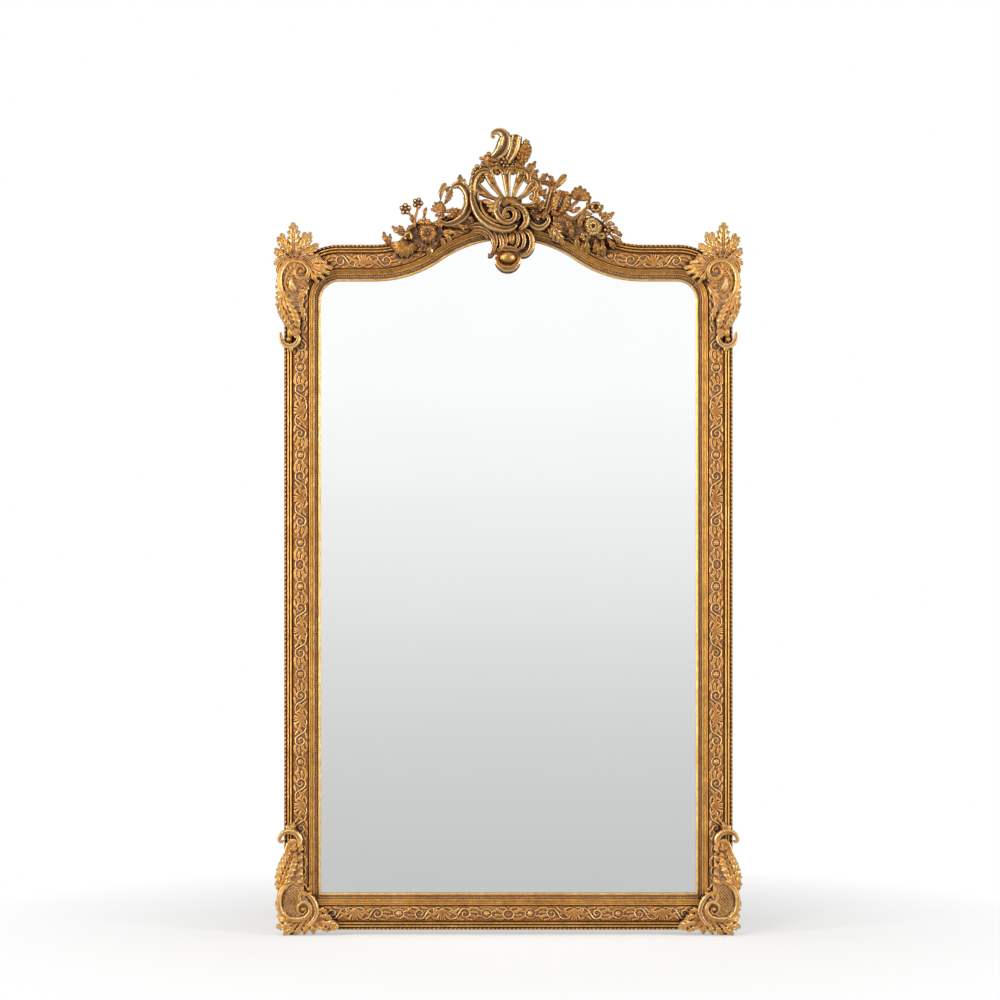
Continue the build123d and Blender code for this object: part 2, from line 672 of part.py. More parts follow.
with BuildPart() as foot_screws:
    with BuildSketch(Plane.XY.offset(FOOT_HEIGHT / 2 - SCREW_HEAD_HEIGHT)):
        with Locations((-foot_x, foot_screw_y), (foot_x, foot_screw_y)):
            Circle(SCREW_HEAD_RADIUS)
    extrude(amount=SCREW_HEAD_HEIGHT)
    with BuildSketch(Plane.XY.offset(FOOT_HEIGHT / 2)):
        with Locations((-foot_x, foot_screw_y), (foot_x, foot_screw_y)):
            Circle(SCREW_RADIUS)
    extrude(amount=FOOT_HEIGHT / 2 + SCREW_BITE - 1)
write("foot_screws", foot_screws)

# ---------------------------------------------------------------- corner castings
# Each casting is placed from the square outer corner of the frame: a inwards, b away from the
# nearer end of the stile, so that one set of shapes serves the left and, mirrored, the right.
def top_point(a, b):
    return (-HALF_OUTER + a, OUTER_TOP - b)


def bottom_point(a, b):
    return (-HALF_OUTER + a, FOOT_HEIGHT + b)


TOP_WEB = (
    (8, 20), (44, 20), (60, 60), (46, 130), (37, 222),
    (25, 222), (22, 200), (6, 200), (-4, 130), (-6, 50),
)
BOTTOM_WEB = (
    (4, 12), (60, 8), (72, 40), (52, 74), (40, 120),
    (36, 212), (25, 212), (22, 190), (8, 190), (-2, 100),
)
crown_leaves = ((90, 77, 30), (55, 70, 24), (30, 64, 22), (125, 58, 24), (158, 46, 22), (192, 43, 20))
top_corner_shapes = [
    web([top_point(a, b) for a, b in TOP_WEB]),
    scroll(*top_point(20, 76), 32, 13, 60, 250, 17),
    boss(*top_point(38, 60), 11, 19),
    leaf(*top_point(24, 62), 270, 34, 14, 11),
    leaf(*top_point(-6, 112), -66, 104, 30, 16),
    leaf(*top_point(36, 106), -100, 74, 20, 12),
    scroll(*top_point(16, 216), 14, 9, 170, 210, 15),
]
top_corner_shapes += [leaf(*top_point(22, 32), *crown, 13) for crown in crown_leaves]
top_corner_shapes += [leaf(*top_point(44, 32), turn, 56, 18, 10) for turn in (6, -18, -42)]
top_left_corner = casting(top_corner_shapes)

toe_leaves = ((177, 42, 22), (224, 48, 24), (249, 41, 22), (273, 37, 20))
bottom_corner_shapes = [
    web([bottom_point(a, b) for a, b in BOTTOM_WEB]),
    scroll(*bottom_point(26, 64), 32, 12, 60, 240, 17),
    boss(*bottom_point(46, 46), 11, 19),
    leaf(*bottom_point(30, 70), 90, 32, 14, 11),
    leaf(*bottom_point(-2, 92), 66, 100, 30, 16),
    leaf(*bottom_point(44, 84), 100, 70, 20, 12),
    scroll(*bottom_point(16, 206), 14, 9, -20, 210, 15),
    leaf(*bottom_point(56, 62), -75, 60, 20, 15),
    leaf(*bottom_point(66, 28), -12, 58, 20, 10),
]
bottom_corner_shapes += [leaf(*bottom_point(25, 30), *toe, 13) for toe in toe_leaves]
bottom_left_corner = casting(bottom_corner_shapes)

write("top_left_corner_casting", top_left_corner)
write("top_right_corner_casting", mirrored(top_left_corner))
write("bottom_left_corner_casting", bottom_left_corner)
write("bottom_right_corner_casting", mirrored(bottom_left_corner))

# ---------------------------------------------------------------- crest
# Crest places are given from the peak of the sight edge: x across, z up.


def crest(x, z):
    return (x, PEAK_Z + z)


with BuildPart() as crest_block:
    with BuildSketch(layer(0)):
        with Locations(crest(0, RAIL_WIDTH - 10)):
            Rectangle(60, 21, align=(Align.CENTER, Align.MIN))
        with Locations((0, PEAK_Z - SWELL_RADIUS)):
            Circle(SWELL_RADIUS + RAIL_WIDTH + GLUE_LINE, mode=Mode.SUBTRACT)
    extrude(amount=BEAD_HEIGHT)
    drill([block_point])
write("crest_block", crest_block)

with BuildSketch() as cleat_outline:
    with Locations(crest(0, CLEAT_START)):
        Rectangle(CLEAT_WIDTH, RAIL_WIDTH + CLEAT_OVERRUN - CLEAT_START, align=(Align.CENTER, Align.MIN))
write("crest_cleat", flat_plate(cleat_outline.sketch, cleat_points + [block_point], CLEAT_THICKNESS))
write("crest_screws", screws(cleat_points + [block_point], -CLEAT_THICKNESS, CLEAT_THICKNESS + SCREW_BITE))

SHELL = crest(5, 89)
SHELL_RIM = 78.0
shell_ribs = ((172, 70), (150, 70), (126, 70), (102, 70), (77, 70), (52, 70), (20, 66))
shell_shapes = [leaf(*SHELL, turn, reach, 17, 13) for turn, reach in shell_ribs]
shell_shapes += [
    boss(*SHELL, 15, 20),
    scroll(*SHELL, SHELL_RIM - 7, 14, 12, 162, 16),
    scroll(*crest(-52, 128), 24, 12, 80, 150, 19),
]
shell_shapes += [boss(*polar(*SHELL, SHELL_RIM + 3, 124 + 9 * n), 5.5, 12) for n in range(5)]
write("crest_shell", casting(shell_shapes))

plume_shapes = [
    boss(*crest(-6, 176), 20, 22),
    leaf(*crest(-14, 168), 72, 68, 26, 24),
    scroll(*crest(-42, 207), 30, 15, -62, 122, 30),
    boss(*crest(-29, 233), 12, 32),
    leaf(*crest(8, 166), 82, 72, 24, 26),
    leaf(*crest(24, 162), 76, 58, 22, 20),
    leaf(*crest(-8, 182), 172, 40, 18, 14),
]
plume_whole = casting(plume_shapes)
with BuildPart() as crest_plume:
    add(plume_whole.part)
    with BuildSketch(layer(CASTING_BACK - 1)):
        with Locations(SHELL):
            Circle(SHELL_RIM + GLUE_LINE)
    extrude(amount=CREST_FRONT, mode=Mode.SUBTRACT)
write("crest_plume", crest_plume)

BOWL_BACK = CASTING_BACK + 22 + GLUE_LINE
bowl_shapes = [
    scroll(*crest(-20, 82), 58, 15, 178, 152, 18),
    boss(*crest(-4, 46), 19, CREST_FRONT - BOWL_BACK),
    leaf(*crest(0, 50), 196, 58, 30, 12),
    leaf(*crest(-8, 50), -20, 50, 24, 12),
]
write("crest_bowl_scroll", casting(bowl_shapes, low=BOWL_BACK))

pendant_shapes = [
    web([crest(*p) for p in ((-58, 26), (40, 26), (50, -20), (24, -44), (-18, -44), (-44, -24))]),
    boss(*crest(-12, 14), 11, 22),
    scroll(*crest(-58, -2), 26, 13, -48, 136, 20),
    scroll(*crest(24, -8), 28, 10, -105, 160, 20),
    boss(*crest(8, -6), 12, 22),
    boss(*crest(0, -48), 23, 22),
    boss(*crest(-37, -32), 9, 20),
]
write("crest_pendant", casting(pendant_shapes, thickness=10))

left_scroll_shapes = [
    scroll(*crest(-122, 74), 40, 18, -142, 212, 20),
    boss(*crest(-112, 114), 11, 21),
    leaf(*crest(-110, 108), 92, 36, 12, 14),
    leaf(*crest(-104, 106), 76, 30, 12, 12),
    leaf(*crest(-148, 52), 100, 50, 26, 16),
    leaf(*crest(-150, 66), 73, 60, 13, 18),
    leaf(*crest(-146, 64), 150, 34, 13, 14),
    leaf(*crest(-144, 60), 178, 31, 13, 14),
    boss(*crest(-152, 43), 10, 20),
]
write("crest_left_scroll", casting(left_scroll_shapes))

left_spray_shapes = (
    (-172, 34, 192, 116, 36, 12),
    (-252, -14, 120, 46, 14, 14),
    (-250, -14, 92, 32, 12, 12),
    (-226, 4, 136, 46, 14, 16),
    (-224, 6, 112, 38, 12, 14),
    (-222, 2, 225, 50, 14, 13),
    (-222, 0, 248, 44, 14, 14),
    (-222, 0, 272, 44, 14, 14),
    (-220, 2, 300, 40, 14, 13),
    (-208, 26, 117, 48, 8, 12),
    (-206, 26, 84, 56, 8, 12),
    (-187, 28, 92, 44, 11, 13),
    (-176, 12, 271, 52, 13, 16),
)
left_spray_bosses = ((-223, 2, 13, 22), (-230, 66, 13, 18), (-202, 79, 12, 18), (-181, 22, 16, 22))
left_spray = [leaf(*crest(x, z), *rest) for x, z, *rest in left_spray_shapes]
left_spray += [boss(*crest(x, z), *rest) for x, z, *rest in left_spray_bosses]
write("crest_left_spray", casting(left_spray))

right_scroll_shapes = [
    leaf(*crest(104, 38), 196, 56, 30, 12),
    scroll(*crest(64, 32), 15, 9, -160, 200, 18),
    boss(*crest(80, 44), 10, 20),
    leaf(*crest(98, 46), 262, 62, 18, 14),
    leaf(*crest(84, 40), 255, 48, 18, 12),
]
write("crest_right_scroll", casting(right_scroll_shapes))

right_spray_shapes = (
    (118, 42, 97, 76, 24, 18),
    (110, 90, 112, 58, 14, 16),
    (110, 90, 64, 58, 16, 18),
    (112, 98, 146, 40, 14, 12),
    (116, 58, 40, 68, 10, 14),
    (116, 52, 24, 78, 12, 14),
    (112, 54, -14, 112, 42, 12),
    (122, 58, 278, 66, 18, 16),
    (184, 50, 23, 60, 12, 14),
    (196, -2, 2, 56, 20, 10),
    (204, 8, 200, 46, 14, 18),
    (202, 8, 232, 48, 14, 18),
    (200, 8, 262, 46, 14, 18),
    (200, 8, 292, 44, 14, 18),
    (200, 8, 325, 40, 14, 18),
    (168, 96, 138, 36, 12, 14),
    (156, 96, 24, 36, 12, 14),
)
right_spray_bosses = (
    (162, 98, 16, 20),
    (191, 60, 18, 22),
    (202, 14, 27, 28),
    (226, 18, 11, 24),
    (237, 23, 6, 20),
)
right_spray = [leaf(*crest(x, z), *rest) for x, z, *rest in right_spray_shapes]
right_spray += [boss(*crest(x, z), *rest) for x, z, *rest in right_spray_bosses]
write("crest_right_spray", casting(right_spray))
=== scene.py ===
import logging
from dataclasses import dataclass, field
from enum import Enum
from typing import Callable, Sequence

import bpy
import numpy as np
import numpy.typing as npt
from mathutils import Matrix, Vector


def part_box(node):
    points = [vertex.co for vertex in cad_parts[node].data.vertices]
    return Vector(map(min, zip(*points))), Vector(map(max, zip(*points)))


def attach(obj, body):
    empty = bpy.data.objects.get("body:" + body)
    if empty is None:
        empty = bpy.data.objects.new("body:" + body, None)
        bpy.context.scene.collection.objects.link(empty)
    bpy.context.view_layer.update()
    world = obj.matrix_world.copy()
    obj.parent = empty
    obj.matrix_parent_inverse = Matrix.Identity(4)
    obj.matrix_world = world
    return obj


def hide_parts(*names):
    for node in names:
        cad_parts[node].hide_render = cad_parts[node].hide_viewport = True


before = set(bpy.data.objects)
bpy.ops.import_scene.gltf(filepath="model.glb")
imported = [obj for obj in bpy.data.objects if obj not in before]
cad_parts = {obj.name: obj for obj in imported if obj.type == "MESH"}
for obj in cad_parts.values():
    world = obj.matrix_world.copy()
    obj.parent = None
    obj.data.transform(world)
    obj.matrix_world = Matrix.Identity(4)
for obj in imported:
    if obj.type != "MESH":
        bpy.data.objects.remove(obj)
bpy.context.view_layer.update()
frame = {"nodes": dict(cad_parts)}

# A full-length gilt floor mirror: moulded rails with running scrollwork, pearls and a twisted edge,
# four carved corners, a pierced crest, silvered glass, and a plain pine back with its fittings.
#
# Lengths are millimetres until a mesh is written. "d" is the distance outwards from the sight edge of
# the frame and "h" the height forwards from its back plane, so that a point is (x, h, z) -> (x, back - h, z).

Array = npt.NDArray[np.float64]
Points = Sequence[Sequence[float]]

MM = 0.001
LOG = logging.getLogger("floor_mirror")


# ------------------------------------------------------------------ names and places


class Side(Enum):
    """The four rails of the frame."""

    LEFT = "left"
    RIGHT = "right"
    TOP = "top"
    BOTTOM = "bottom"


class Field(Enum):
    """How a ground is worked between the carvings."""

    NET = "net"
    FLUTED = "fluted"


class Turn(Enum):
    """How a shape drawn for the left of the frame is laid on it."""

    AS_DRAWN = 1.0
    MIRRORED = -1.0


CASTING_BASE = 46.2
"""Height over the back plane that the heights of the castings' carving are measured from."""

BACK_SINK = 0.5
"""How far the castings' flat backs lie below that base."""

CASTING_BACK = CASTING_BASE - BACK_SINK
"""Height of the castings' flat backs over the back plane."""

BACK_STEP = 0.015
"""How much further back each shell's flat back lies than the one before, so that none are coplanar."""

BACK_STEPS = 40
"""How many steps there are before they start again."""

BACK_RECESS = 0.12
"""Recess given to the backs, so that they are coloured as a shaded flat."""


@dataclass(frozen=True)
class Layout:
    """Where the parts of the frame lie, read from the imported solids, in millimetres.

    Args:
        back: y of the frame's back plane.
        half_sight: half the width of the sight opening.
        half_outer: half the width of the carcass.
        foot: z of the carcass's underside.
        sight_bottom: z of the sight opening's bottom edge.
        peak: z of the sight edge at the middle of the top rail.
        rail: width of a rail.
        corner_radius: round of the two top corners of the sight edge.
        swell_half_span: half the width that the rise of the top takes.
        swell_rise: rise of the top's serpentine above its shoulders.
    """

    back: float
    half_sight: float
    half_outer: float
    foot: float
    sight_bottom: float
    peak: float
    rail: float
    corner_radius: float = 42.0
    swell_half_span: float = 300.0
    swell_rise: float = 94.0

    @property
    def shoulder(self) -> float:
        """Height of the sight edge at the shoulders."""
        return self.peak - self.swell_rise

    @property
    def crown(self) -> float:
        """Height of the carcass at the middle of the top rail."""
        return self.peak + self.rail

    @property
    def outer_top(self) -> float:
        """Height of the level shoulders of the carcass."""
        return self.shoulder + self.rail

    @property
    def swell_radius(self) -> float:
        """Radius of each of the serpentine's tangent arcs."""
        half_span, half_rise = self.swell_half_span / 2, self.swell_rise / 2
        return (half_span**2 + half_rise**2) / (2 * half_rise)


def node_box(name: str) -> Array:
    """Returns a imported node's lowest and highest corners, in millimetres, as two rows."""
    return np.asarray(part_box(name), dtype=float) / MM


def read_layout() -> Layout:
    """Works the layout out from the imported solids.

    Returns:
        The layout of the frame.
    """
    carcass = node_box("bottom_carcass_rail")
    slip = node_box("bottom_sight_slip")
    top = node_box("top_carcass_rail")
    left = node_box("left_carcass_stile")
    rail = slip[1, 2] - carcass[0, 2]
    return Layout(
        back=carcass[1, 1],
        half_sight=-left[0, 0] - rail,
        half_outer=-left[0, 0],
        foot=carcass[0, 2],
        sight_bottom=slip[1, 2],
        peak=top[1, 2] - rail,
        rail=rail,
    )


# ------------------------------------------------------------------ curves


def run_along(points: Array) -> Array:
    """Returns the length of the path up to each of its points."""
    return np.concatenate([[0.0], np.cumsum(np.linalg.norm(np.diff(points, axis=0), axis=1))])


def spline(points: Points | Array, count: int) -> Array:
    """A smooth curve through the points, evenly spaced along its length.

    A Catmull-Rom curve is worked out at many parameters, and then read again at equal arc lengths. The
    first two columns are the place, and the other columns are carried along with them.

    Args:
        points: The points that the curve goes through, one row each.
        count: How many rows to return.

    Returns:
        An array of count rows with the points' columns.
    """
    rows = np.asarray(points, dtype=float)
    rows = np.vstack([2 * rows[0] - rows[1], rows, 2 * rows[-1] - rows[-2]])
    t = np.linspace(0, len(rows) - 3, 24 * (len(rows) - 3) + 1)
    i = np.minimum(t.astype(int), len(rows) - 4)
    f = (t - i)[:, None]
    a, b, c, d = rows[i], rows[i + 1], rows[i + 2], rows[i + 3]
    fine = 0.5 * (2 * b + (c - a) * f + (2 * a - 5 * b + 4 * c - d) * f**2 + (3 * b - a - 3 * c + d) * f**3)
    length = run_along(fine[:, :2])
    even = np.linspace(0, length[-1], count)
    return np.stack([np.interp(even, length, fine[:, k]) for k in range(fine.shape[1])], axis=1)


def sideways(path: Array) -> Array:
    """The unit vectors across a curve in the plane of the frame, to the left of its direction.

    Args:
        path: Rows that start with x and z.

    Returns:
        One unit vector a row.
    """
    along = np.gradient(path[:, :2], axis=0)
    along /= np.linalg.norm(along, axis=1, keepdims=True) + 1e-9
    return np.stack([-along[:, 1], along[:, 0]], axis=1)


# ------------------------------------------------------------------ shells: closed surfaces from grids


@dataclass
class Carving:
    """A piece under construction: closed shells, each a grid of loops with pole or flat ends.

    Args:
        layout: The places of the frame.
    """

    layout: Layout
    points: list[Array] = field(default_factory=list)
    detail: list[Array] = field(default_factory=list)
    behind: list[Array] = field(default_factory=list)
    faces: list[Array] = field(default_factory=list)
    caps: list[list[int]] = field(default_factory=list)
    count: int = 0

    def shell(
        self, loops: Array, flat_ends: bool = False, sharp: float = 1.4, mark: Array | float = 0.0,
    ) -> None:
        """Adds one closed shell.

        Each row of the grid is a closed loop, and neighbouring loops are joined by quads. Pole ends draw
        the first and last loops together into one point, and flat ends keep them as one face each. The
        detail of a point is how far it stands above the mean of its neighbours on the grid; the gilt
        paints highlights where it is high and shade where it is low.

        Args:
            loops: x, h and z of each point, as an array of loops by points by 3.
            flat_ends: Whether the ends are flat faces instead of poles.
            sharp: How many millimetres of relief count as full detail.
            mark: Detail to add at each point of a loop: painted highlight where above 0, painted shade where
                below 0.
        """
        rows, cols = loops.shape[:2]
        height = loops[..., 1]
        level = height.copy()
        for _ in range(4):
            padded = np.pad(level, ((1, 1), (0, 0)), mode="edge")
            level = (padded[:-2] + padded[2:] + np.roll(level, 1, 1) + np.roll(level, -1, 1)) / 4
        # The detail is the relief over the neighbours plus the mark; the gilt paints highlights and shade by
        # it.
        detail = np.clip((height - level) / sharp + mark, -1, 1)
        behind = np.isclose(height, CASTING_BACK)
        loops = loops.copy()
        loops[..., 1] -= BACK_STEP * (len(self.points) % BACK_STEPS) * behind
        column = np.arange(cols)
        after = (column + 1) % cols
        row = np.arange(rows - 1)[:, None] * cols
        quads = np.stack([row + column, row + after, row + cols + after, row + cols + column], -1)
        quads = quads.reshape(-1, 4)
        points = loops.reshape(-1, 3)
        facets = np.concatenate([quads[:, [0, 1, 2]], quads[:, [0, 2, 3]]])
        corners = points[facets]
        centre = points.mean(axis=0)
        volume = np.einsum(
            "ij,ij->", corners[:, 0] - centre, np.cross(corners[:, 1] - centre, corners[:, 2] - centre),
        )
        if volume > 0:  # x, h, z is a left-handed triple once h runs against y
            quads = quads[:, ::-1]
        flat = detail.reshape(-1)
        if flat_ends:
            ends = [column, (rows - 1) * cols + column]
            first = quads[0]
            both = np.isin(first, [0, 1]).sum() == 2
            forward = bool(both and list(first).index(1) == (list(first).index(0) + 1) % 4)
            ring = [ends[0][::-1], ends[1]] if forward else [ends[0], ends[1][::-1]]
            self.caps += [[int(v) + self.count for v in end] for end in ring]
            self.faces.append(quads + self.count)
            self.points.append(points)
            self.detail.append(flat)
            self.behind.append(behind.reshape(-1))
            self.count += len(points)
            return
        body = points[cols:-cols]
        poles = np.stack([points[:cols].mean(axis=0), points[-cols:].mean(axis=0)])
        remap = np.concatenate([np.full(cols, len(body)), np.arange(len(body)), np.full(cols, len(body) + 1)])
        self.faces.append(remap[quads] + self.count)
        self.points.append(np.concatenate([body, poles]))
        self.detail.append(np.concatenate([flat[cols:-cols], [flat[:cols].mean(), flat[-cols:].mean()]]))
        back = behind.reshape(-1)
        self.behind.append(np.concatenate([back[cols:-cols], [back[:cols].all(), back[-cols:].all()]]))
        self.count += len(body) + 2

    def build(self, name: str, relief: "Relief", turn: Turn = Turn.AS_DRAWN) -> "Casting":
        """Closes the list of shells into one array, ready to be written as a mesh.

        Args:
            name: The piece's name.
            relief: The height map that the piece takes part in.
            turn: Whether the piece is mirrored left to right.

        Returns:
            The finished arrays with their name.
        """
        points = np.concatenate(self.points)
        faces = np.concatenate(self.faces)
        caps = self.caps
        if turn is Turn.MIRRORED:
            points = points * np.array([-1.0, 1.0, 1.0])
            faces = faces[:, ::-1]
            caps = [cap[::-1] for cap in caps]
        behind = np.concatenate(self.behind)
        casting = Casting(
            name, points, np.where(behind, 0.0, np.concatenate(self.detail)), behind, faces, caps,
            self.layout,
        )
        relief.stamp(points)
        return casting


@dataclass
class Casting:
    """The arrays of one piece: its points, their detail and its faces.

    Args:
        name: The piece's name.
        points: x, h and z of each point.
        detail: How far each point stands above its neighbours, from -1 to 1, which the gilt turns into
            painted highlight and painted shade.
        behind: Whether each point lies on a flat back.
        faces: Quads, with a repeated corner where a quad is a triangle.
        caps: Flat end faces with many corners.
        layout: The places of the frame.
    """

    name: str
    points: Array
    detail: Array
    behind: Array
    faces: npt.NDArray[np.int64]
    caps: list[list[int]]
    layout: Layout

    def write(
        self, relief: "Relief", material: bpy.types.Material, slot: str, nodes: Sequence[str],
    ) -> bpy.types.Object:
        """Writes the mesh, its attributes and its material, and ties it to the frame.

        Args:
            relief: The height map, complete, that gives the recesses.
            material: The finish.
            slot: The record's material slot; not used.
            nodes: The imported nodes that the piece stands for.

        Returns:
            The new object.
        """
        repeated = (self.faces == np.roll(self.faces, -1, axis=1)).any(axis=1)
        quads = self.faces[~repeated]
        pinched = self.faces[repeated]
        keep = pinched != np.roll(pinched, -1, axis=1)
        triangles = pinched[keep].reshape(-1, 3) if len(pinched) else np.zeros((0, 3), int)
        sizes = np.concatenate(
            [np.full(len(quads), 4), np.full(len(triangles), 3), [len(c) for c in self.caps]]
        ).astype(int)
        loose = [np.asarray(cap, dtype=int) for cap in self.caps]
        loops = np.concatenate([quads.reshape(-1), triangles.reshape(-1), *loose]).astype(int)
        mesh = bpy.data.meshes.new(self.name)
        mesh.vertices.add(len(self.points))
        place = np.stack([self.points[:, 0], self.layout.back - self.points[:, 1], self.points[:, 2]], 1) * MM
        mesh.vertices.foreach_set("co", place.astype(np.float32).ravel())
        mesh.loops.add(len(loops))
        mesh.loops.foreach_set("vertex_index", loops.astype(np.int32))
        mesh.polygons.add(len(sizes))
        starts = np.concatenate([[0], np.cumsum(sizes)[:-1]]).astype(np.int32)
        mesh.polygons.foreach_set("loop_start", starts)
        smooth = np.arange(len(sizes)) < len(sizes) - len(loose)
        mesh.polygons.foreach_set("use_smooth", smooth)
        mesh.update(calc_edges=True)
        mesh.validate()
        # The recess attribute carries painted shade: the gilt darkens each point by it, and the backs get a
        # small fixed share.
        recess = np.where(self.behind, BACK_RECESS, relief.recess(self.points))
        for label, values in (("detail", self.detail), ("recess", recess)):
            layer = mesh.attributes.new(label, "FLOAT", "POINT")
            layer.data.foreach_set("value", values.astype(np.float32))
        piece = bpy.data.objects.new(self.name, mesh)
        bpy.context.scene.collection.objects.link(piece)
        mesh.materials.append(material)
        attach(piece, "mirror")
        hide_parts(*nodes)
        LOG.info(
            "%s: %d points, %d faces, stands for %s", self.name, len(self.points), len(sizes),
            ", ".join(nodes),
        )
        return piece


@dataclass
class Relief:
    """A height map of the whole front, from which each point learns how deep in a recess it lies.

    The highest point of each small square of the plane of the frame is kept, the squares are blurred,
    and a point's recess is how far it lies below the blurred surface over it. The gilt paints shade by
    the recess, darker the deeper a point lies.

    Args:
        pitch: Side of a square.
        reach: Half-width of the blur.
        depth: The fall that counts as a full recess.
    """

    pitch: float = 1.6
    reach: int = 4
    depth: float = 7.0
    size: tuple[int, int] = (700, 1160)
    map: Array = field(init=False)
    blurred: Array | None = None

    def __post_init__(self) -> None:
        """Starts with an empty map."""
        self.map = np.zeros(self.size)

    def cell(self, points: Array) -> tuple[npt.NDArray[np.int64], npt.NDArray[np.int64]]:
        """Returns the map's square under each point."""
        column = np.clip(((points[:, 0] + 560.0) / self.pitch).astype(int), 0, self.size[0] - 1)
        row = np.clip(((points[:, 2] + 20.0) / self.pitch).astype(int), 0, self.size[1] - 1)
        return column, row

    def stamp(self, points: Array) -> None:
        """Raises the map to the points."""
        np.maximum.at(self.map, self.cell(points), points[:, 1])

    def blur(self) -> Array:
        """Blurs the map: twice along each axis with a box, as running sums.

        Returns:
            The blurred map.
        """
        out = self.map
        for _ in range(2):
            for axis in (0, 1):
                width = 2 * self.reach + 1
                edge = [(0, 0), (0, 0)]
                edge[axis] = (self.reach + 1, self.reach)
                sums = np.cumsum(np.pad(out, edge, mode="edge"), axis=axis)
                high = np.take(sums, np.arange(width, sums.shape[axis]), axis=axis)
                low = np.take(sums, np.arange(0, sums.shape[axis] - width), axis=axis)
                out = (high - low) / width
        return out

    def recess(self, points: Array) -> Array:
        """Returns how deep each point lies below the blurred surface, from 0 to 1."""
        if self.blurred is None:
            self.blurred = self.blur()
        return np.clip((self.blurred[self.cell(points)] - points[:, 1]) / self.depth, 0, 1)


# ------------------------------------------------------------------ carved shapes


def band(
    rows: Array,
    across: Array,
    front: Array,
    back: float,
    slant: Array | None = None,
) -> Array:
    """A band with a carved front and a flat back, laid along a curve.

    A point of the front is the curve's point plus its side vector times the half width times v, at the
    curve's height plus the front's height. The back runs the other way, at one height below the edges.

    Args:
        rows: x, z, height and half width along the curve.
        across: Values of v from -1 to 1, or one row of them for each row of the curve.
        front: Height above the curve for each row and v.
        back: Height of the back over the back plane.
        slant: How far, in rows, each point is carried forward along the curve.

    Returns:
        Closed loops, as rows by points by x, h, z.
    """
    count = len(rows)
    v = np.broadcast_to(across, front.shape)
    index = np.arange(count, dtype=float)[:, None] + (0.0 if slant is None else slant)
    index = np.clip(np.broadcast_to(index, front.shape), 0, count - 1)
    low = np.minimum(index.astype(int), count - 2)
    part = (index - low)[..., None]
    table = np.column_stack([rows[:, :3], sideways(rows)])
    read = table[low] * (1 - part) + table[low + 1] * part
    half = rows[:, 3][:, None]
    x = read[..., 0] + read[..., 3] * v * half
    z = read[..., 1] + read[..., 4] * v * half
    h = read[..., 2] + front
    picks = np.linspace(v.shape[1] - 1, 0, 7).astype(int)
    under = np.full((count, len(picks)), back)
    columns = [np.concatenate(pair, 1) for pair in ((x, x[:, picks]), (h, under), (z, z[:, picks]))]
    return np.stack(columns, -1)


